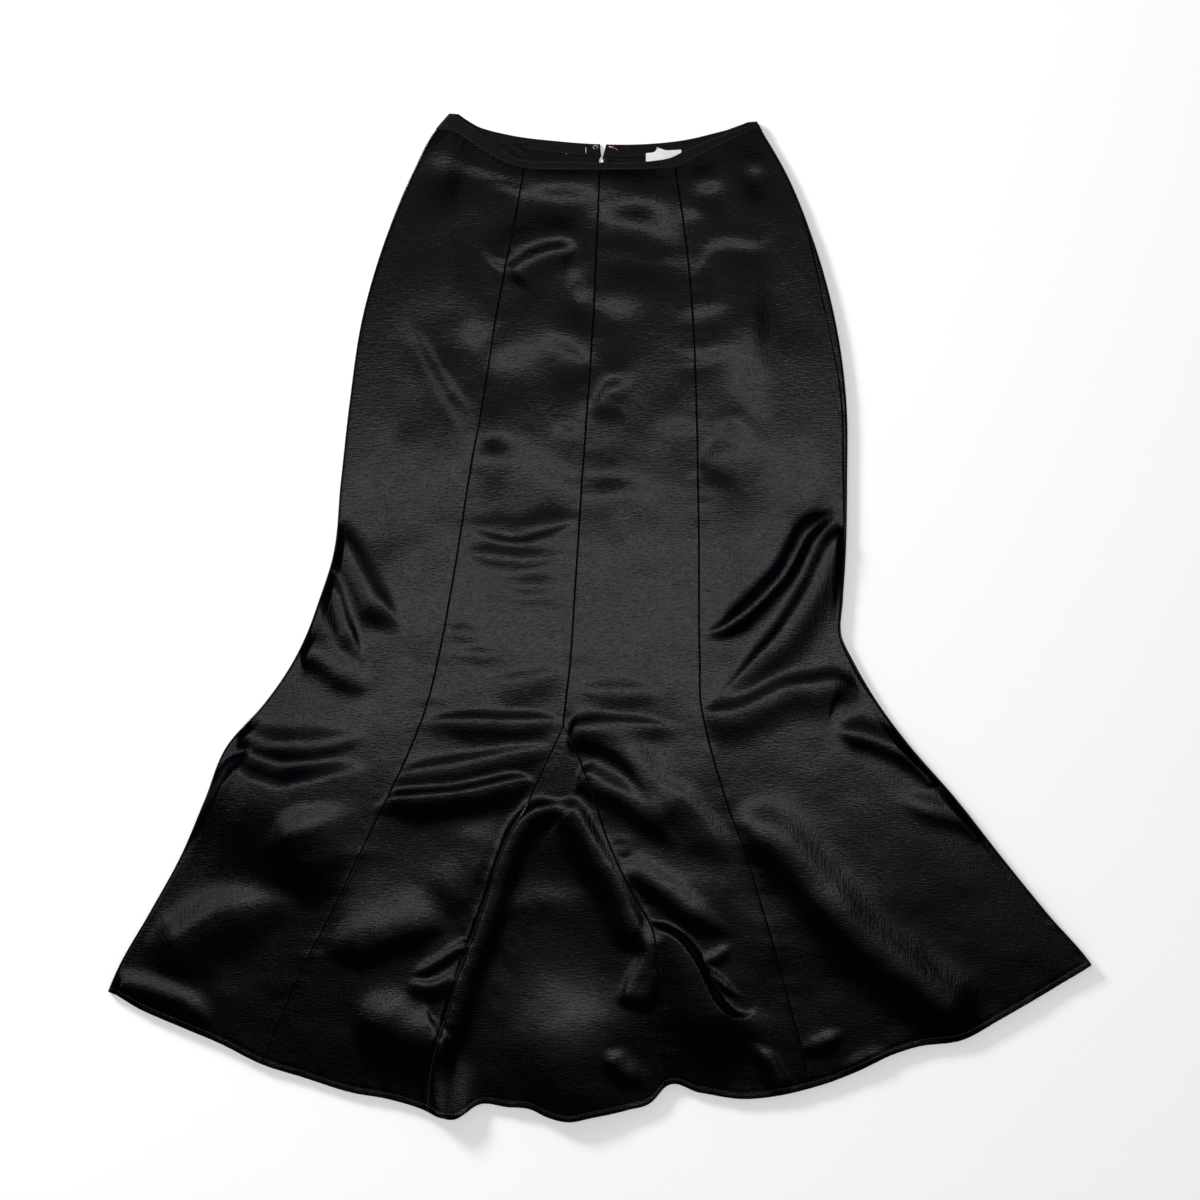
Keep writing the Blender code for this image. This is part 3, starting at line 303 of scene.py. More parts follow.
# places where the cloth climbs in one direction, from a hollow to a swell: centre, half width and half
# length, turn in degrees of the climb from straight up the skirt, and how steep it is
climbs = (
    ((-163, 487), (19, 13), 0, 0.20),
    ((-130, 470), (21, 6), -20, 0.10),
    ((-102, 463), (15, 4), -15, 0.10),
    ((-98, 451), (15, 4), -10, 0.10),
    ((-40, 447), (46, 13), 0, 0.18),
    ((-26, 360), (15, 14), 0, 0.09),
    ((-18, 337), (12, 8), 0, 0.10),
    ((37, 426), (39, 17), 5, 0.18),
    ((66, 406), (22, 13), -30, 0.10),
    ((27, 380), (27, 8), 0, 0.06),
    ((18, 327), (27, 14), 0, 0.10),
    ((114, 452), (16, 9), 25, 0.15),
    ((97, 424), (12, 6), 0, 0.07),
    ((71, 373), (26, 7), 0, 0.08),
    ((163, 472), (12, 9), 0, 0.16),
    ((110, 322), (22, 7), 10, 0.10),
    ((117, 276), (24, 8), 15, 0.10),
    ((155, 250), (22, 40), 0, 0.08),
    ((142, 176), (22, 13), 0, 0.14),
    ((-129, 300), (16, 21), 8, 0.10),
    ((-86, 276), (33, 15), 20, 0.10),
    ((-27, 281), (32, 11), -32, 0.14),
    ((-33, 199), (15, 8), 0, 0.10),
    ((83, 201), (21, 11), 0, 0.08),
    ((-110, 180), (19, 14), 0, 0.15),
    ((-45, 150), (51, 13), -30, 0.05),
    ((13, 141), (32, 12), -5, 0.12),
    ((-36, -405), (48, 52), 185, 0.10),
    ((-46, -288), (34, 12), 180, 0.09),
)

# the same along a line: how steep, half width, share of its length for coming up and for dying away, and
# the points; the cloth is higher on the left of the way it runs
steps = (
    (0.24, 9, 0.15, 0.3, ((-102, 359), (-88, 374), (-66, 386), (-40, 392), (-12, 390))),
    (0.16, 8, 0.3, 0.4, ((-8, 206), (-2, 230), (8, 245), (22, 249), (42, 245))),
    (0.10, 6, 0.2, 0.3, ((94, 354), (106, 372), (116, 388), (134, 394), (160, 391), (188, 402))),
    (0.13, 4, 0.3, 0.3, ((-203, 317), (-187, 276), (-166, 236), (-142, 192))),
    (0.13, 4, 0.3, 0.3, ((-194, 316), (-175, 279), (-154, 245), (-130, 214))),
)

# pads with a flat top and quick edges: centre, half width and half length, turn, rise, slope down its length
pads = (
    ((-155, -498), (23, 44), 3, 5.0, -0.17),
    ((46, -372), (17, 34), -14, 2.6, -0.10),
)

# slack that lifts a whole area: centre, half width and half length, rise
slack = (
    ((-50, -60), (190, 110), 2.5),
    ((-20, 200), (110, 200), 0.75),
    ((330, -240), (120, 110), 1.5),
)
# how a crest and a step are shaped: how narrow at its ends, how round, and how soon a step fades
crest = {"endShare": 0.45, "power": 2.3, "fade": 3.2}


def alongPath(path, x, y):
    path = np.array(path, float)
    run = np.concatenate([[0], np.cumsum(np.linalg.norm(np.diff(path, axis=0), axis=1))])
    at = np.linspace(0, run[-1], 8 * len(path))
    spine = np.stack([smoothCurve(run, path[:, 0], at), smoothCurve(run, path[:, 1], at)], axis=1)
    points = np.stack([x, y], axis=-1)[:, None, :]
    step = spine[1:] - spine[:-1]
    along = np.clip(((points - spine[:-1]) * step).sum(-1) / (step * step).sum(-1), 0, 1)
    offset = points - (spine[:-1] + along[..., None] * step)
    distance = np.linalg.norm(offset, axis=-1)
    nearest = distance.argmin(axis=1)
    pick = np.arange(len(nearest))
    away = distance[pick, nearest]
    turn = (step[:, 0] * offset[..., 1] - step[:, 1] * offset[..., 0])[pick, nearest]
    side = turn / np.maximum(np.linalg.norm(step, axis=1)[nearest] * np.maximum(away, 1e-6), 1e-9)
    t = (nearest + along[pick, nearest]) / len(step)
    return away, side, t


def crestShare(fold, x, y):
    rise, left, right, fadeIn, fadeOut, path = fold
    away, side, t = alongPath(path, x, y)
    width = right + (left - right) * ease(0.5 + 0.5 * side)
    full = ease(t / fadeIn) * ease((1 - t) / fadeOut)
    width = width * (crest["endShare"] + (1 - crest["endShare"]) * full)
    return rise * pulledShare(y) * full * np.exp(-((away / width) ** crest["power"]))


def pulledShare(y):
    return lay["flareShare"] + (lay["torsoShare"] - lay["flareShare"]) * ease((y + 60) / 120)


def stepHeight(step, x, y):
    steep, half, fadeIn, fadeOut, path = step
    away, side, t = alongPath(path, x, y)
    full = ease(t / fadeIn) * ease((1 - t) / fadeOut)
    far = away / half
    return steep * half * np.tanh(far) * side * full * np.exp(-((far / crest["fade"]) ** 2))


def climbHeight(x, y, centre, half, turn, steep):
    u, v = turned(x, y, centre, half, turn)
    return steep * half[1] * np.tanh(v) * np.exp(-((v / crest["fade"]) ** 2) - u ** 2)


def turned(x, y, centre, half, turn):
    angle = math.radians(turn)
    u = ((x - centre[0]) * math.cos(angle) + (y - centre[1]) * math.sin(angle)) / half[0]
    v = ((y - centre[1]) * math.cos(angle) - (x - centre[0]) * math.sin(angle)) / half[1]
    return u, v


# the folds are laid on a fine even grid first, and every panel reads its heights from that
ground = {"step": 1.25, "left": -560, "foot": -570, "columns": 900, "rows": 900}
groundX = ground["left"] + ground["step"] * np.arange(ground["columns"])
groundY = ground["foot"] + ground["step"] * np.arange(ground["rows"])
foldField = np.zeros((ground["rows"], ground["columns"]))


def addInBox(low, high, shape):
    columns = slice(*np.searchsorted(groundX, (low[0], high[0])))
    rows = slice(*np.searchsorted(groundY, (low[1], high[1])))
    x, y = np.meshgrid(groundX[columns], groundY[rows])
    foldField[rows, columns] += shape(x.ravel(), y.ravel()).reshape(x.shape)


# adds the shape within reach of the points; the reach may differ along x and y
def addAround(points, reach, shape):
    reach = np.broadcast_to(reach, 2)
    addInBox(np.min(points, axis=0) - reach, np.max(points, axis=0) + reach, shape)


for group in folds.values():
    for fold in group:
        addAround(fold[5], 2.6 * max(fold[1], fold[2]), lambda x, y: crestShare(fold, x, y))
for step in steps:
    addAround(step[4], 7 * step[1], lambda x, y: stepHeight(step, x, y))
for centre, half, turn, steep in climbs:
    addAround([centre], 7 * max(half), lambda x, y: climbHeight(x, y, centre, half, turn, steep))
for centre, half, turn, rise, rim in dents:
    addAround([centre], max(half) + 3 * rim,
              lambda x, y: rise * np.exp(-(((np.hypot(*turned(x, y, centre, half, turn)) - 1)
                                           * min(half) / rim) ** 2)))


def padHeight(x, y, centre, half, turn, rise, slope):
    u, v = turned(x, y, centre, half, turn)
    ends = np.where(v > 0, np.exp(-(v ** 2)), np.exp(-(v ** 8)))    # soft above, a quick edge below
    return (rise + slope * v * half[1]) * np.exp(-(u ** 4)) * ends


for centre, half, turn, rise, slope in pads:
    addAround([centre], 1.6 * max(half),
              lambda x, y: lay["flareShare"] * padHeight(x, y, centre, half, turn, rise, slope))
for centre, half, rise in slack:
    addAround([centre], 2.5 * np.array(half),
              lambda x, y: rise * np.exp(-((x - centre[0]) / half[0]) ** 2
                                         - ((y - centre[1]) / half[1]) ** 2))


# the gathering stitches pull the cloth into small puckers under the left of the front band
pucker = {"from": (-166, 515), "to": (-100, 475), "count": 19, "rise": 0.75, "half": (2.0, 3.4),
          "turn": -30, "stray": 1.8, "reach": (14, 20)}
for k in range(pucker["count"]):
    share = k / (pucker["count"] - 1)
    x0 = pucker["from"][0] + (pucker["to"][0] - pucker["from"][0]) * share
    y0 = pucker["from"][1] + (pucker["to"][1] - pucker["from"][1]) * share
    place = (x0, y0 + pucker["stray"] * math.sin(2.4 * k))
    rise = pucker["rise"] * (0.6 + 0.4 * math.sin(3.7 * k + 1))
    addAround([place], pucker["reach"],
              lambda x, y: rise * np.exp(-(np.hypot(*turned(x, y, place, pucker["half"],
                                                            pucker["turn"])) ** 2)))


def foldHeight(x, y):
    u = (x - ground["left"]) / ground["step"]
    v = (y - ground["foot"]) / ground["step"]
    i = np.clip(np.floor(u).astype(int), 1, ground["columns"] - 3)
    j = np.clip(np.floor(v).astype(int), 1, ground["rows"] - 3)
    total = np.zeros_like(u)
    for k, across in enumerate(cubicShares(u - i)):
        for n, up in enumerate(cubicShares(v - j)):
            total += across * up * foldField[j + n - 1, i + k - 1]
    return total


def cubicShares(t):
    return ((1 - t) ** 3 / 6, (3 * t ** 3 - 6 * t ** 2 + 4) / 6,
            (-3 * t ** 3 + 3 * t ** 2 + 3 * t + 1) / 6, t ** 3 / 6)


def lifted(x, y):
    edge = ease((edgeDistance(x, y) - fieldInset) / lay["fieldRun"])
    foldEdge = ease((edgeDistance(x, y) + 2) / 14)
    calm = lay["waistLift"] * ease((y - lay["waistLiftFoot"]) / lay["waistLiftRun"])
    loft = ease((lay["flareLoftTop"] - y) / lay["flareLoftRun"])
    fall = lay["flareFall"] * ease((lay["flareFallTop"] - y) / lay["flareFallRun"])
    calm = calm + lay["flareLoft"] * (loft - fall)
    for height, cell, seed in waviness:
        calm = calm + height * uneven(x, y, cell, seed)
    belt = 1 - ease((y - lay["beltFoot"]) / 40)
    return calm * edge + foldHeight(x, y) * foldEdge * (0.25 + 0.75 * belt)


def frontHeightAt(x, y):
    soft = 0.5
    over = lay["frontHeight"] + lifted(x, y) - lay["lowest"]
    return lay["lowest"] + soft * np.logaddexp(0, over / soft)


def sideRoll(points, side, path, low):
    high = lay["frontHeight"]
    inside = inward(points, side)
    angle = 0.5 * math.pi * np.clip(path / rollQuarter, -1, 1)
    beyond = np.maximum(np.abs(path) - rollQuarter, 0)
    inset = lay["rollDepth"] * (1 - np.cos(angle)) + beyond
    height = (high + low) / 2 + (high - low) / 2 * np.sin(angle)
    plan = points[:, None, :] + inside[:, None, :] * inset[..., None]
    x = plan[..., 0]
    y = plan[..., 1]
    up = (height - low) / (high - low)
    height = height + up * np.maximum(lifted(x.ravel(), y.ravel()).reshape(x.shape), lay["lowest"] - high)
    return np.concatenate([plan, height[..., None]], axis=-1)


def rowOnCurve(curve, row):
    y = curveY(curve, row[:, 0])
    for end in (0, -1):
        near = ease(1 - np.abs(row[:, 0] - row[end, 0]) / follow["endReach"])
        y = y + near * (row[end, 1] - curveY(curve, row[end, 0]))
    return y


# shares across a panel: close together beside the seams, even between
def seamShares(width, columns):
    close = np.array([0, 0.4, 0.9, 1.5, 2.3, 3.4, 5.0]) * np.minimum(1, width / 40)[:, None]
    near = close / width[:, None]
    even = np.linspace(0, 1, columns)[None, 1:-1]
    between = near[:, -1:] + (1 - 2 * near[:, -1:]) * even
    return np.concatenate([near, between, 1 - near[:, ::-1]], axis=1)


def panelPlan(left, right, columns, stations, waistCurve, hemCurve):
    width = np.linalg.norm(right - left, axis=1)
    shares = seamShares(width, columns)
    plan = left[:, None, :] + (right - left)[:, None, :] * shares[..., None]
    if waistCurve is not None:
        top = 1 - ease(stations / follow["waistEnd"])
        plan[..., 1] += top[:, None] * (rowOnCurve(waistCurve, plan[0]) - plan[0, :, 1])
    beyond = (stations - follow["hemStart"]) / (2 - follow["hemStart"])
    foot = np.clip(beyond, 0, 1) ** follow["hemPower"]
    plan[..., 1] += foot[:, None] * (rowOnCurve(hemCurve, plan[-1]) - plan[-1, :, 1])
    return plan, shares * width[:, None], (1 - shares) * width[:, None]


def toFrame(points):
    place = np.array(points, float)
    place[..., 2] = np.maximum(place[..., 2], lay["clearOfFloor"])
    return (place - np.array([middle[0], middle[1], 0])) * mm


def newMesh(name, points, faces):
    data = bpy.data.meshes.new(name)
    data.from_pydata(toFrame(points), [], faces)
    data.shade_smooth()
    made = bpy.data.objects.new(name, data)
    bpy.context.scene.collection.objects.link(made)
    return made


def meshFromGrid(name, points):
    rows, columns = points.shape[:2]
    index = np.arange(rows * columns).reshape(rows, columns)
    quads = np.stack([index[:-1, :-1], index[1:, :-1], index[1:, 1:], index[:-1, 1:]], axis=-1)
    return newMesh(name, points.reshape(-1, 3), quads.reshape(-1, 4))


seamRoll = {"ridge": 0.2, "ridgeTop": -200, "ridgeRun": 80, "ridgeHalf": 3.0, "drop": 0.45, "reach": 0.5,
            "pucker": 0.16, "puckerLength": 9.0, "puckerReach": 11.0}


def seamDip(distance, y, seed):
    drop = -seamRoll["drop"] * np.exp(-((distance / seamRoll["reach"]) ** 2))
    below = ease((seamRoll["ridgeTop"] - y) / seamRoll["ridgeRun"])
    drop = drop + seamRoll["ridge"] * below * np.exp(-((distance / seamRoll["ridgeHalf"]) ** 2))
    wave = uneven(y, np.zeros_like(y), seamRoll["puckerLength"], seed)
    return drop + seamRoll["pucker"] * wave * np.exp(-distance / seamRoll["puckerReach"])


seamSeeds = {"princessLeft": 21, "centre": 22, "godetLeft": 23, "godetRight": 24, "princessRight": 25,
             "sideLeft": 26, "sideRight": 27}


def torsoAndFlareStations(lengthTorso, lengthFlare, spacing):
    torso = np.linspace(0, 1, int(lengthTorso / spacing))
    flare = 1 + np.linspace(0, 1, int(lengthFlare / spacing))[1:]
    tail = 2 - np.array([4.0, 2.6, 1.4, 0.6]) / lengthFlare
    return np.sort(np.concatenate([torso, flare, tail]))


stations = torsoAndFlareStations(560, 420, lay["spacing"])


# the hem is turned under: a small roll at the edge, then a strip back up the inside
def turnHem(points):
    down = points[-1] - points[-4]
    down[:, 2] = 0
    down /= np.maximum(np.linalg.norm(down, axis=1, keepdims=True), 1e-6)
    radius = 0.55
    added = []
    for angle in np.radians((30, 60, 90, 120, 150, 180)):
        row = points[-1] + down * radius * math.sin(angle)
        row[:, 2] -= radius * (1 - math.cos(angle))
        added.append(row)
    for back in (2.0, 4.0, 6.0):
        row = points[-1] - down * back
        row[:, 2] -= 2 * radius
        added.append(row)
    return np.concatenate([points, np.stack(added)], axis=0)


def hemStitchDip(points):
    run = np.linalg.norm(np.diff(points[..., :2], axis=0), axis=2)
    toHem = np.concatenate([np.cumsum(run[::-1], axis=0)[::-1], np.zeros((1, run.shape[1]))], axis=0)
    groove = -0.35 * np.exp(-(((toHem - 5.5) / 0.9) ** 2))
    wave = uneven(points[..., 0], points[..., 1] * 0, 6.0, 41)
    return groove + 0.25 * wave * np.exp(-((toHem / 9) ** 2))


def frontPanel(name, left, right, columns, stationsUsed, hasWaist=True):
    leftEdge = linePoints(left, stationsUsed)
    rightEdge = linePoints(right, stationsUsed)
    plan, fromLeft, fromRight = panelPlan(leftEdge, rightEdge, columns, stationsUsed,
                                          waistSeam if hasWaist else None, hem)
    x, y = plan[..., 0], plan[..., 1]
    z = frontHeightAt(x, y) + seamDip(fromLeft, y, seamSeeds[left]) + seamDip(fromRight, y, seamSeeds[right])
    points = np.stack([x, y, z], axis=-1)
    points[..., 2] += hemStitchDip(points)
    return meshFromGrid(name, turnHem(points))


def sidePanel(name, side, seam, columns):
    edge = linePoints(side, stations)
    fieldEdge = edge + inward(edge, side) * fieldInset
    seamLine = linePoints(seam, stations)
    plan, _, fromSeam = panelPlan(fieldEdge, seamLine, columns, stations, waistSeam, hem)
    x, y = plan[..., 0], plan[..., 1]
    field = np.stack([x, y, frontHeightAt(x, y) + seamDip(fromSeam, y, seamSeeds[seam])], axis=-1)
    if side == "sideLeft":
        path = np.array([-rollQuarter - lay["tuckUnder"], *np.linspace(-1, 1, 11) * rollQuarter,
                         rollQuarter + 2.5, rollQuarter + 5])
        path = np.repeat(path[None, :], len(stations), axis=0)
        roll = sideRoll(edge, side, path, 0.4)
    else:
        path = pathOverRight(edge, 9)
        roll = sideRoll(edge, side, path, 0.4)
        roll[..., 2] += seamDip(path - path[:, :1], roll[..., 1], seamSeeds[side])
    points = np.concatenate([roll, field], axis=1)
    points[..., 2] += hemStitchDip(points)
    return meshFromGrid(name, turnHem(points))


def rightSeamPath(points):
    inset = np.maximum(curveY(sideSeamInset, points[:, 1]), 0.4)
    onRoll = rollQuarter * 2 / math.pi * np.arccos(1 - np.minimum(inset / lay["rollDepth"], 1))
    return onRoll + np.maximum(inset - lay["rollDepth"], 0)


# the front's way from the right side seam over the edge, and the back's way up to that seam
def pathOverRight(edge, columns):
    start = rightSeamPath(edge)
    left = rollQuarter + lay["flatMargin"] - start
    return start[:, None] + left[:, None] * np.linspace(0, 0.9, columns)


def pathUpRight(edge, columns):
    end = rightSeamPath(edge)
    return -rollQuarter + (end + rollQuarter)[:, None] * np.linspace(1, 0, columns)


frontSideLeft = sidePanel("front_side_left_satin", "sideLeft", "princessLeft", 112)
frontSideRight = sidePanel("front_side_right_satin", "sideRight", "princessRight", 112)
frontCentreLeft = frontPanel("front_centre_left_satin", "princessLeft", "godetLeft", 70, stations)
frontCentreRight = frontPanel("front_centre_right_satin", "godetRight", "princessRight", 74, stations)
godetStations = stations[stations > 1.02]
frontGodet = frontPanel("front_godet_satin", "godetLeft", "godetRight", 96, godetStations, False)
print("front cut and creased")

backSpacing = torsoAndFlareStations(560, 420, 5)
backHeight = 0.4
backCreases = {"rise": 1.3, "cell": 55}


def backPanel(name, left, right, columns, rollsUp=False):
    leftEdge = backEdge(left, 1)
    rightEdge = backEdge(right, -1)
    plan, fromLeft, fromRight = panelPlan(leftEdge, rightEdge, columns, backSpacing, backWaistSeam, backHem)
    x, y = plan[..., 0], plan[..., 1]
    crease = backCreases["rise"] * np.maximum(uneven(x, y, backCreases["cell"], 61, 2.2), 0) ** 1.4
    z = backHeight + crease * ease(np.minimum(fromLeft, fromRight) / 20) * ease((440 - y) / 60)
    points = np.stack([x, y, z], axis=-1)
    if rollsUp:
        edge = linePoints("sideRight", backSpacing)
        path = pathUpRight(edge, 18)
        roll = sideRoll(edge, "sideRight", path, backHeight)
        roll[..., 2] += seamDip(path[:, :1] - path, roll[..., 1], seamSeeds["sideRight"])
        points = np.concatenate([points, roll[:, ::-1]], axis=1)
    return meshFromGrid(name, points)


zipGap = {"halfGap": 3.3, "foot": 278, "footRun": 20, "notchFoot": 0.7, "notchRun": 6}


def backEdge(line, toward):
    points = linePoints(line, backSpacing)
    if line == "sideLeft":
        return points + inward(points, line) * (lay["rollDepth"] + lay["tuckUnder"])
    if line == "sideRight":
        return points + inward(points, line) * fieldInset
    if line == "backCentre":
        top = ease((points[0, 1] - points[:, 1]) / zipGap["notchRun"])
        foot = ease((points[:, 1] - zipGap["foot"] + zipGap["footRun"]) / zipGap["footRun"])
        away = zipGap["notchFoot"] + (zipGap["halfGap"] - zipGap["notchFoot"]) * top
        points[:, 0] += toward * away * foot
    return points


backSideLeft = backPanel("back_side_left_satin", "sideLeft", "backLeft", 40)
backCentreLeft = backPanel("back_centre_left_satin", "backLeft", "backCentre", 34)
backCentreRight = backPanel("back_centre_right_satin", "backCentre", "backRight", 34)
backSideRight = backPanel("back_side_right_satin", "backRight", "sideRight", 40, True)
print("back laid")

band = {"thickness": 1.1, "rows": 7, "low": 0.6, "overCloth": 0.35, "rounding": 0.35}


def bandShell(name, side, onFront):
    ends = sideEnds[side]
    levels = np.linspace(ends[1], ends[0], band["rows"])
    edge = np.stack([lineX(side, levels), levels], axis=1)
    toward = 1 if side == "sideRight" else -1
    share = np.linspace(0, 1, band["rows"])[:, None]
    if onFront:
        foot = np.array([cut["centre"][2], float(curveY(waistSeam, 0.4))])
        top = np.array([cut["centre"][2], float(curveY(bandTop, 0.4))])
        inset = fieldInset
    else:
        footX = backCut["backCentre"][0] + toward * zipGap["notchFoot"]
        topX = backCut["backCentre"][0] + 1 + toward * 3.2
        foot = np.array([footX, float(curveY(backWaistSeam, footX))])
        top = np.array([topX, float(curveY(backBandTop, topX))])
        inset = fieldInset if toward > 0 else lay["rollDepth"] + lay["tuckUnder"]
    fieldEdge = edge + inward(edge, side) * inset
    middleLine = foot * (1 - share) + top * share
    across = np.linspace(0, 1, 90)[None, :, None]
    plan = fieldEdge[:, None, :] + (middleLine - fieldEdge)[:, None, :] * across
    footCurve, topCurve = (waistSeam, bandTop) if onFront else (backWaistSeam, backBandTop)
    plan[..., 1] += (1 - share) * (rowOnCurve(footCurve, plan[0]) - plan[0, :, 1])
    plan[..., 1] += share * (rowOnCurve(topCurve, plan[-1]) - plan[-1, :, 1])
    if onFront:
        x, y = plan[..., 0], plan[..., 1]
        field = np.stack([x, y, frontHeightAt(x, y) + band["overCloth"]], axis=-1)
        if toward < 0:
            path = np.array([-rollQuarter - lay["tuckUnder"], *np.linspace(-1, 1, 11) * rollQuarter])
            path = np.repeat(path[None, :], len(edge), axis=0)
        else:
            path = pathOverRight(edge, 8)
        roll = sideRoll(edge, side, path, band["low"])
        points = np.concatenate([roll, field], axis=1)
    else:
        field = np.concatenate([plan, np.full(plan.shape[:2] + (1,), band["low"])], axis=-1)
        points = field
        if toward > 0:
            points = np.concatenate([sideRoll(edge, side, pathUpRight(edge, 14), band["low"]), field],
                                    axis=1)
    made = meshFromGrid(name, points)
    thick = made.modifiers.new("Binding", "SOLIDIFY")
    thick.thickness = band["thickness"] * mm
    thick.offset = 0
    rounded = made.modifiers.new("Rounded", "BEVEL")
    rounded.width = band["rounding"] * mm
    rounded.segments = 2
    rounded.angle_limit = math.radians(50)
    return made


bandFrontLeft = bandShell("waistband_front_left_binding", "sideLeft", True)
bandFrontRight = bandShell("waistband_front_right_binding", "sideRight", True)
bandBackLeft = bandShell("waistband_back_left_binding", "sideLeft", False)
bandBackRight = bandShell("waistband_back_right_binding", "sideRight", False)
print("waistband bound")


def flatGrid(name, rows, height):
    points = np.array([[(x, y, height(x, y)) for x, y in row] for row in rows], float)
    return meshFromGrid(name, points)


tape = {"width": 12.0, "height": 1.95, "levels": (278, 313, 348, 383, 418, 450, 464, 473, 483.5),
        "turnsAway": (0, 0, 0, 0, 0, 0, 0, 1.2, 2.4), "toothHalf": 1.5, "toothRadius": 0.45,
        "toothGap": 1.35, "teethTop": 466}


def zipTape(name, toward):
    levels = np.linspace(tape["levels"][0], tape["levels"][-1], 90)
    away = 0.15 + np.interp(levels, tape["levels"], tape["turnsAway"])
    inner = lineX("backCentre", levels) + toward * away
    rows = []
    for level, start in zip(levels, inner):
        across = np.linspace(start, start + toward * tape["width"], 9)
        rows.append([(x, level) for x in (across if toward > 0 else across[::-1])])
    return flatGrid(name, rows, lambda x, y: tape["height"] + 0.05 * math.sin(1.3 * x + 0.4 * y))


# a small rounded stick between two points, as six-sided rings that close at both ends
def stickPoints(start, end, radius):
    start = np.array(start, float)
    end = np.array(end, float)
    run = end - start
    along = run / np.linalg.norm(run)
    side = np.cross(along, (0, 0, 1))
    side /= np.linalg.norm(side)
    over = np.cross(side, along)
    verts = [start]
    for share, size in ((0.1, 0.75), (0.3, 1.0), (0.7, 1.0), (0.9, 0.75)):
        for angle in np.radians(np.arange(0, 360, 60)):
            outward = math.cos(angle) * side + math.sin(angle) * over
            verts.append(start + run * share + radius * size * outward)
    verts.append(end)
    faces = [(0, 1 + (k + 1) % 6, 1 + k) for k in range(6)]
    for ring in range(3):
        first = 1 + 6 * ring
        faces += [(first + k, first + (k + 1) % 6, first + 6 + (k + 1) % 6, first + 6 + k) for k in range(6)]
    faces += [(25, 19 + k, 19 + (k + 1) % 6) for k in range(6)]
    return verts, faces


def meshOfSticks(name, sticks, radius):
    verts = []
    faces = []
    for start, end in sticks:
        made, around = stickPoints(start, end, radius)
        faces += [tuple(len(verts) + i for i in face) for face in around]
        verts += made
    return newMesh(name, verts, faces)


stitch = {"length": 2.4, "gap": 1.2, "radius": 0.27, "sunk": 0.04}


# stitches along a line in plan, lying on the surface
def stitchesOn(line, height, wobble=0.0):
    line = np.array(line, float)
    run = np.concatenate([[0], np.cumsum(np.linalg.norm(np.diff(line, axis=0), axis=1))])
    starts = np.arange(0.5, run[-1] - stitch["length"], stitch["length"] + stitch["gap"])
    ends = starts + stitch["length"]
    sticks = []
    for k, (first, last) in enumerate(zip(starts, ends)):
        shift = wobble * math.sin(2.7 * k)
        pair = []
        for at in (first, last):
            x = float(np.interp(at, run, line[:, 0]))
            y = float(np.interp(at, run, line[:, 1])) + shift
            pair.append((x, y, float(height(np.array([x]), np.array([y]))[0]) - stitch["sunk"]))
        sticks.append(pair)
    return sticks


def onFront(x, y):
    return frontHeightAt(x, y) + stitch["radius"]


def onFrontBand(x, y):
    return frontHeightAt(x, y) + band["overCloth"] + band["thickness"] / 2 + stitch["radius"] * 0.6


def onBack(x, y):
    return np.full_like(x, 1.6)


def offsetCurve(curve, x, shift):
    return [(float(a), float(curveY(curve, a)) + shift) for a in x]


zipTapeLeft = zipTape("zip_tape_left_cloth", -1)
zipTapeRight = zipTape("zip_tape_right_cloth", 1)
teeth = []
for level in np.arange(tape["levels"][0] + 2, tape["teethTop"], tape["toothGap"]):
    x = float(lineX("backCentre", level))
    teeth.append(((x - tape["toothHalf"], level, 1.0), (x + tape["toothHalf"], level + 0.3, 1.0)))
zipTeeth = meshOfSticks("zip_teeth", teeth, tape["toothRadius"])

label = {"top": ((49.2, 488), (57, 488.8), (63.2, 493.2), (70, 491), (86.2, 491.8)), "foot": 461.5,
         "height": 3.75, "curl": 0.5, "tagMiddle": (70.0, 480.5), "tagHalf": (13.5, 10.0), "tagTurn": -20}


def labelGrid(name):
    xs = np.linspace(label["top"][0][0], label["top"][-1][0], 40)
    tops = np.interp(xs, [p[0] for p in label["top"]], [p[1] for p in label["top"]])
    rows = [[(x, label["foot"] + (top - label["foot"]) * share) for x, top in zip(xs, tops)]
            for share in np.linspace(1, 0, 24)]
    return flatGrid(name, rows, lambda x, y: label["height"] + label["curl"] * math.sin(0.13 * x + 0.09 * y))


def tagGrid(name):
    turn = math.radians(label["tagTurn"])
    rows = []
    for v in np.linspace(1, -1, 12):
        row = []
        for u in np.linspace(-1, 1, 16):
            x = u * label["tagHalf"][0]
            y = v * label["tagHalf"][1]
            row.append((label["tagMiddle"][0] + x * math.cos(turn) - y * math.sin(turn),
                        label["tagMiddle"][1] + x * math.sin(turn) + y * math.cos(turn)))
        rows.append(row)
    return flatGrid(name, rows, lambda x, y: 2.6 + 0.15 * math.sin(0.3 * x))


labelWhite = labelGrid("label_white_cloth")
tagBeige = tagGrid("tag_beige_cloth")

# stitching: hem, both edges of the band, the inside of the back band, and the thread at hook and eye
hemX = np.linspace(-505, 508, 500)
hemLine = [(a, float(curveY(hem, a)) + 6.0) for a in hemX]
hemStitches = meshOfSticks("hem_stitches", stitchesOn(hemLine, onFront), stitch["radius"])
bandX = np.linspace(-158, 158, 160)
bandStitches = meshOfSticks("waistband_stitches", stitchesOn(offsetCurve(waistSeam, bandX, 1.5), onFrontBand)
                            + stitchesOn(offsetCurve(bandTop, bandX, -1.0), onFrontBand), stitch["radius"])
insideStitches = []
for start, end in ((-118, -6), (14, 118)):
    insideStitches += stitchesOn(offsetCurve(backWaistSeam, np.linspace(start, end, 60), 1.5), onBack)
bandInsideStitches = meshOfSticks("back_band_stitches", insideStitches, stitch["radius"])
gatherLine = [(-164, 519), (-155, 514), (-146, 508), (-138, 503), (-129, 496), (-121, 491), (-113, 486),
              (-105, 481), (-97, 477)]
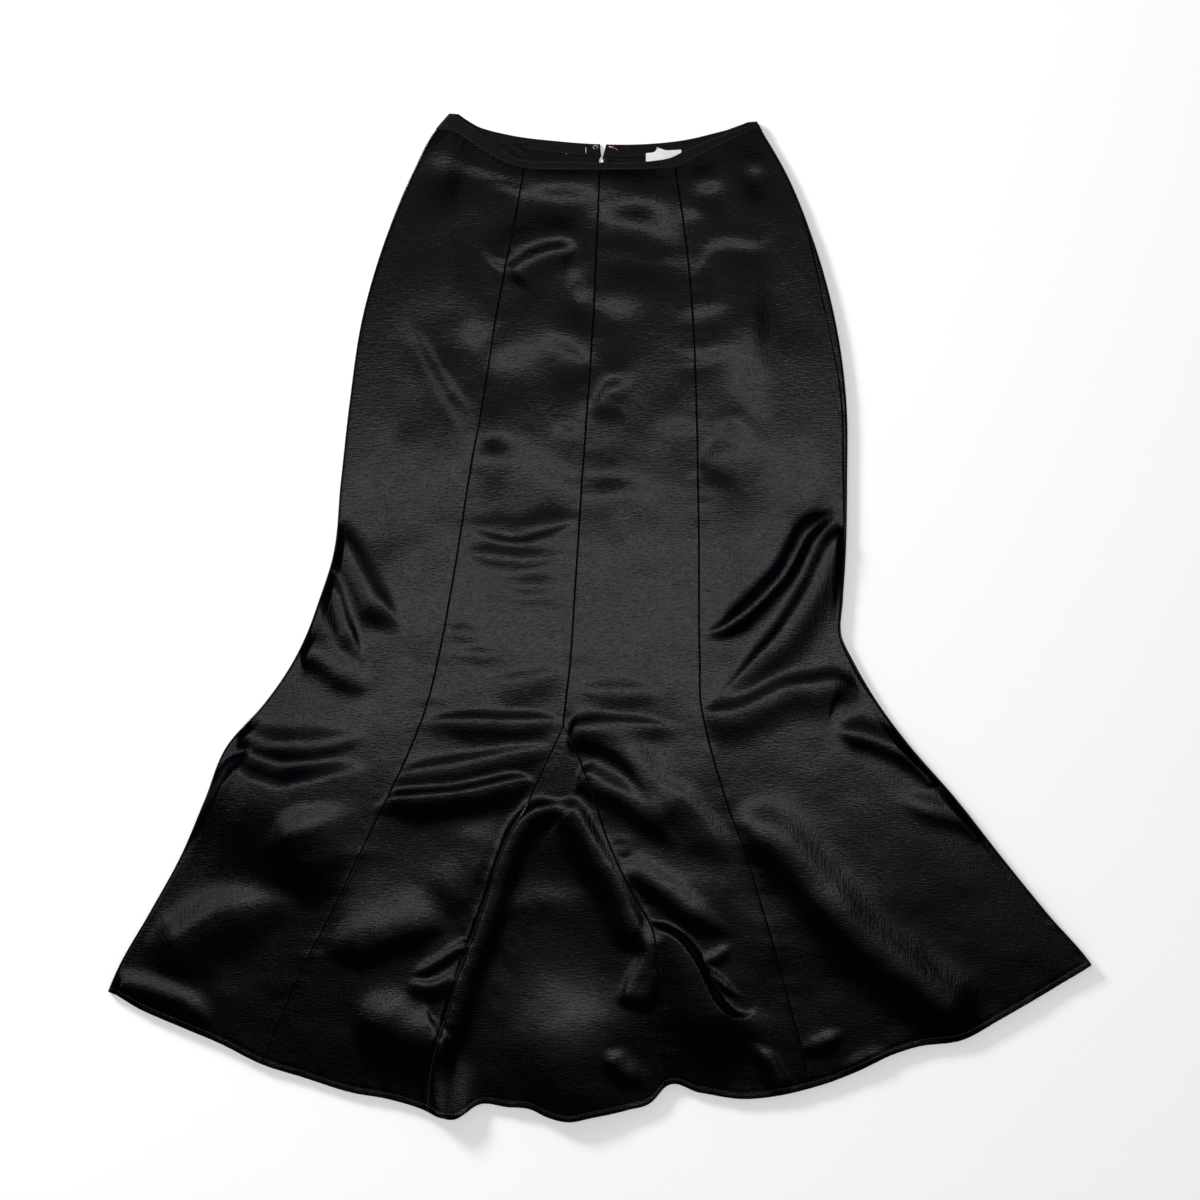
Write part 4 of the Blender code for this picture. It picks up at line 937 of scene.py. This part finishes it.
gatherStitches = meshOfSticks("gathering_stitches", stitchesOn(gatherLine, onFrontBand, 0.9), 0.3)

threads = {"eyeBar": ((-13.8, 488.0, 2.6), (-13.8, 494.6, 2.6)), "eye": (-3.6, 494.4),
           "overEye": (1.5, 3.05), "besideEye": (2.9, 2.5),
           "speck": ((-34.6, 487.3, 1.9), (-33.9, 487.8, 1.9)),
           "hookFeet": ((19.5, 491.3), (20.4, 489.6), (16.4, 493.4), (17.6, 495.2))}
whiteSticks = [threads["eyeBar"]]
for k in range(7):
    angle = math.radians(40 * k - 20)
    whiteSticks.append([(threads["eye"][0] + out * math.cos(angle), threads["eye"][1] + out * math.sin(angle),
                         height) for out, height in (threads["overEye"], threads["besideEye"])])
whiteSticks.append(threads["speck"])
whiteThread = meshOfSticks("eye_thread", whiteSticks, 0.24)
hookSticks = []
for x, y in threads["hookFeet"]:
    hookSticks.append(((x - 0.9, y - 0.5, 2.6), (x + 0.9, y + 0.5, 3.2)))
    hookSticks.append(((x - 0.7, y + 0.4, 3.1), (x + 0.8, y - 0.3, 2.6)))
hookThread = meshOfSticks("hook_thread", hookSticks, 0.22)
ladder = [((4.4 + 0.16 * k, 483.5 - 1.05 * k, 2.5), (9.6 + 0.5 * math.sin(2 * k), 482.6 - 1.05 * k, 2.7))
          for k in range(9)]
zipEndThread = meshOfSticks("zip_end_thread", ladder, 0.3)


# seam allowance of the back's left princess seam, seen inside the waist
allowance = {"top": 499, "foot": 455, "width": 16, "height": 1.75}


def allowanceGrid(name):
    rows = []
    for level in np.linspace(allowance["top"], allowance["foot"], 40):
        left = float(lineX("backLeft", level)) - allowance["width"] / 2
        across = np.linspace(left, left + allowance["width"], 12)
        rows.append([(x + 0.5 * math.sin(0.9 * level), level) for x in across])
    return flatGrid(name, rows, lambda x, y: allowance["height"] + 0.07 * math.sin(0.5 * y + 0.3 * x))


allowanceLeft = allowanceGrid("seam_allowance_left")
print("trim sewn on")

satin = {"dark": (0.0003, 0.0003, 0.0010), "pale": (0.0007, 0.0006, 0.0015), "roughness": 0.155,
         "gloss": 0.083, "rib": 0.45, "patchy": 0.035}


def newMaterial(name):
    material = bpy.data.materials.new(name)
    material.use_nodes = True
    nodes = material.node_tree.nodes
    return material, nodes, material.node_tree.links, nodes["Principled BSDF"]


def noiseAt(nodes, links, scale, size, detail=3.0):
    place = nodes.new("ShaderNodeTexCoord")
    stretch = nodes.new("ShaderNodeMapping")
    stretch.inputs["Scale"].default_value = scale
    noise = nodes.new("ShaderNodeTexNoise")
    noise.inputs["Scale"].default_value = size
    noise.inputs["Detail"].default_value = detail
    links.new(place.outputs["Object"], stretch.inputs["Vector"])
    links.new(stretch.outputs["Vector"], noise.inputs["Vector"])
    return noise


def mixColour(nodes, links, shader, dark, pale, share):
    blend = nodes.new("ShaderNodeMix")
    blend.data_type = "RGBA"
    blend.inputs["A"].default_value = (*dark, 1)
    blend.inputs["B"].default_value = (*pale, 1)
    links.new(share, blend.inputs["Factor"])
    links.new(blend.outputs["Result"], shader.inputs["Base Color"])


def raiseBump(nodes, links, shader, height, strength, distance):
    bump = nodes.new("ShaderNodeBump")
    bump.inputs["Strength"].default_value = strength
    bump.inputs["Distance"].default_value = distance
    links.new(height, bump.inputs["Height"])
    links.new(bump.outputs["Normal"], shader.inputs["Normal"])


def satinMaterial(name, settings):
    material, nodes, links, shader = newMaterial(name)
    mottle = noiseAt(nodes, links, (1, 1, 1), 14)
    mixColour(nodes, links, shader, settings["dark"], settings["pale"], mottle.outputs["Fac"])
    rib = noiseAt(nodes, links, (0.25, 1, 1), 620, 3)
    thread = noiseAt(nodes, links, (1, 0.2, 1), 520, 3)
    both = nodes.new("ShaderNodeMath")
    both.operation = "ADD"
    links.new(rib.outputs["Fac"], both.inputs[0])
    links.new(thread.outputs["Fac"], both.inputs[1])
    raiseBump(nodes, links, shader, both.outputs["Value"], settings["rib"], 0.0003)
    patchy = nodes.new("ShaderNodeMapRange")
    patchy.inputs["From Min"].default_value = 0.3
    patchy.inputs["From Max"].default_value = 0.7
    patchy.inputs["To Min"].default_value = settings["roughness"] - settings["patchy"]
    patchy.inputs["To Max"].default_value = settings["roughness"] + settings["patchy"]
    links.new(rib.outputs["Fac"], patchy.inputs["Value"])
    links.new(patchy.outputs["Result"], shader.inputs["Roughness"])
    shader.inputs["Specular IOR Level"].default_value = settings["gloss"]
    return material


def clothMaterial(name, dark, pale, roughness, weave, bumpStrength):
    material, nodes, links, shader = newMaterial(name)
    mottle = noiseAt(nodes, links, (1, 1, 1), 220)
    mixColour(nodes, links, shader, dark, pale, mottle.outputs["Fac"])
    woven = noiseAt(nodes, links, (1, 1, 1), weave, 2)
    raiseBump(nodes, links, shader, woven.outputs["Fac"], bumpStrength, 0.0004)
    shader.inputs["Roughness"].default_value = roughness
    shader.inputs["Specular IOR Level"].default_value = 0.08
    return material


satinCloth = satinMaterial("black satin", satin)
bindingCloth = clothMaterial("matt binding", (0.0014, 0.0014, 0.0018), (0.004, 0.0039, 0.0043), 0.5,
                             1100, 0.8)
tapeCloth = clothMaterial("zip tape", (0.003, 0.003, 0.0035), (0.006, 0.006, 0.0065), 0.85, 1200, 0.5)
labelCloth = clothMaterial("white label", (0.72, 0.72, 0.71), (0.86, 0.86, 0.85), 0.8, 1600, 0.3)
tagCloth = clothMaterial("beige tag", (0.48, 0.37, 0.26), (0.6, 0.48, 0.35), 0.8, 1200, 0.3)
threadBlack = clothMaterial("black thread", (0.012, 0.012, 0.015), (0.04, 0.04, 0.046), 0.5, 2200, 0.5)
threadWhite = clothMaterial("white thread", (0.55, 0.55, 0.54), (0.8, 0.8, 0.79), 0.7, 2200, 0.5)


def metalMaterial(name, dark, pale, roughness):
    material, nodes, links, shader = newMaterial(name)
    worn = noiseAt(nodes, links, (1, 1, 1), 900)
    mixColour(nodes, links, shader, dark, pale, worn.outputs["Fac"])
    raiseBump(nodes, links, shader, worn.outputs["Fac"], 0.3, 0.0001)
    shader.inputs["Roughness"].default_value = roughness
    shader.inputs["Metallic"].default_value = 1.0
    return material


darkMetal = metalMaterial("dark metal", (0.02, 0.02, 0.021), (0.09, 0.085, 0.08), 0.35)
warmMetal = metalMaterial("copper metal", (0.35, 0.16, 0.08), (0.75, 0.45, 0.28), 0.3)
for node, finish in (("zip_slider", darkMetal), ("zip_pull", darkMetal), ("eye", darkMetal),
                     ("hook", warmMetal)):
    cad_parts[node].data.materials[0] = finish

sheets = {
    frontSideLeft: ("front_side_left", (0.44, 0.99)),
    frontCentreLeft: ("front_centre_left", (0.36, 1.00)),
    frontGodet: ("front_godet", (0.26, 0.41)),
    frontCentreRight: ("front_centre_right", (0.26, 0.99)),
    frontSideRight: ("front_side_right", (0.44, 1.01)),
    backSideLeft: ("back_side_left", (0.43, 0.98)),
    backCentreLeft: ("back_centre_left", (0.32, 1.00)),
    backCentreRight: ("back_centre_right", (0.30, 0.99)),
    backSideRight: ("back_side_right", (0.44, 0.99)),
}


def sewOn(piece, finish, node=None):
    piece.data.materials.append(finish)
    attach(piece, "skirt")
    if node:
        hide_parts(node)
    return sum(p.area for p in piece.data.polygons)


for piece, (node, flat) in sheets.items():
    cloth = sewOn(piece, satinCloth, node)
    print(node, "area", round(cloth, 4), "of", flat[0] * flat[1], "triangles", 2 * len(piece.data.polygons))
bands = {
    bandFrontLeft: ("waistband_front_left", 0.0115),
    bandFrontRight: ("waistband_front_right", 0.0105),
    bandBackLeft: ("waistband_back_left", 0.0125),
    bandBackRight: ("waistband_back_right", 0.0125),
}
for piece, (node, width) in bands.items():
    cloth = sewOn(piece, bindingCloth, node)
trimPieces = (
    (zipTapeLeft, tapeCloth, "zip_tape", "zip_tape_left"),
    (zipTapeRight, tapeCloth, "zip_tape", "zip_tape_right"),
    (zipTeeth, darkMetal, "dark_metal", None), (labelWhite, labelCloth, "label_cloth", "label_white"),
    (tagBeige, tagCloth, "tag_paper", "tag_beige"), (hemStitches, threadBlack, "satin", None),
    (bandStitches, threadBlack, "binding", None), (bandInsideStitches, threadBlack, "binding", None),
    (gatherStitches, threadBlack, "binding", None), (whiteThread, threadWhite, "label_cloth", None),
    (hookThread, threadBlack, "binding", None), (zipEndThread, threadBlack, "zip_tape", None),
    (allowanceLeft, satinCloth, "satin", None),
)
for piece, finish, slotName, node in trimPieces:
    sewOn(piece, finish, node)
print("materials on")

# floor, lights and camera, in metres
studio = {"floor": (0.93, 0.93, 0.932), "lightHeight": 4.2, "lightAcross": 2.2, "lightAlong": 0.35,
          "lightPower": 32.5, "panel": 2.4, "panelPower": 19, "panelPlace": (0.3, 0.3),
          "sidePower": 200, "sideSize": (0.9, 0.35), "sidePlace": (-2.6, 2.2, 0.75), "floorGlow": 0.16,
          "windowPower": 13, "windowSize": (0.5, 1.0), "windowPlace": (-1.55, 0.1),
          "lightPlace": (0.0, 0.075), "cameraHeight": 3.4, "view": 1.26, "centre": (0.0003, 0.0183)}
bpy.ops.mesh.primitive_plane_add(size=8, location=(0, 0, -0.0002))
floor = bpy.context.object
floor.name = "floor"
floorFinish, nodes, links, shader = newMaterial("pale floor")
shader.inputs["Base Color"].default_value = (*studio["floor"], 1)
shader.inputs["Roughness"].default_value = 0.9
shader.inputs["Specular IOR Level"].default_value = 0.1
shader.inputs["Emission Color"].default_value = (1, 1, 1, 1)
shader.inputs["Emission Strength"].default_value = studio["floorGlow"]
floor.data.materials.append(floorFinish)


def hangLamp(name, size, power, place):
    lamp = bpy.data.lights.new(name, "AREA")
    lamp.shape = "RECTANGLE"
    lamp.size, lamp.size_y = size
    lamp.energy = power
    hung = bpy.data.objects.new(name, lamp)
    hung.location = place
    bpy.context.scene.collection.objects.link(hung)
    return hung


hangLamp("overhead", (studio["lightAcross"], studio["lightAlong"]), studio["lightPower"],
         (*studio["lightPlace"], studio["lightHeight"]))
hangLamp("wide dim panel", (studio["panel"], studio["panel"]), studio["panelPower"],
         (*studio["panelPlace"], studio["lightHeight"] + 0.05))
hangLamp("left window", studio["windowSize"], studio["windowPower"],
         (*studio["windowPlace"], studio["lightHeight"]))
low = hangLamp("low side light", studio["sideSize"], studio["sidePower"], studio["sidePlace"])
low.rotation_euler = (-Vector(studio["sidePlace"])).to_track_quat("-Z", "Y").to_euler()

world = bpy.data.worlds.new("soft room")
world.use_nodes = True
bpy.context.scene.world = world
nodes = world.node_tree.nodes
links = world.node_tree.links
place = nodes.new("ShaderNodeTexCoord")
split = nodes.new("ShaderNodeSeparateXYZ")
ramp = nodes.new("ShaderNodeValToRGB")
ramp.color_ramp.elements[0].position = 0.3
ramp.color_ramp.elements[0].color = (1.0, 1.0, 1.0, 1)
ramp.color_ramp.elements[1].position = 0.62
ramp.color_ramp.elements[1].color = (0.02, 0.02, 0.021, 1)
links.new(place.outputs["Generated"], split.inputs["Vector"])
links.new(split.outputs["Z"], ramp.inputs["Fac"])
links.new(ramp.outputs["Color"], nodes["Background"].inputs["Color"])
nodes["Background"].inputs["Strength"].default_value = 1.1

camera = bpy.data.objects.new("camera", bpy.data.cameras.new("camera"))
camera.location = (*studio["centre"], studio["cameraHeight"])
camera.data.sensor_width = 36
camera.data.lens = 36 * studio["cameraHeight"] / studio["view"]
bpy.context.scene.collection.objects.link(camera)
bpy.context.scene.camera = camera
bpy.context.scene.view_settings.view_transform = "Standard"
print("lit and framed")
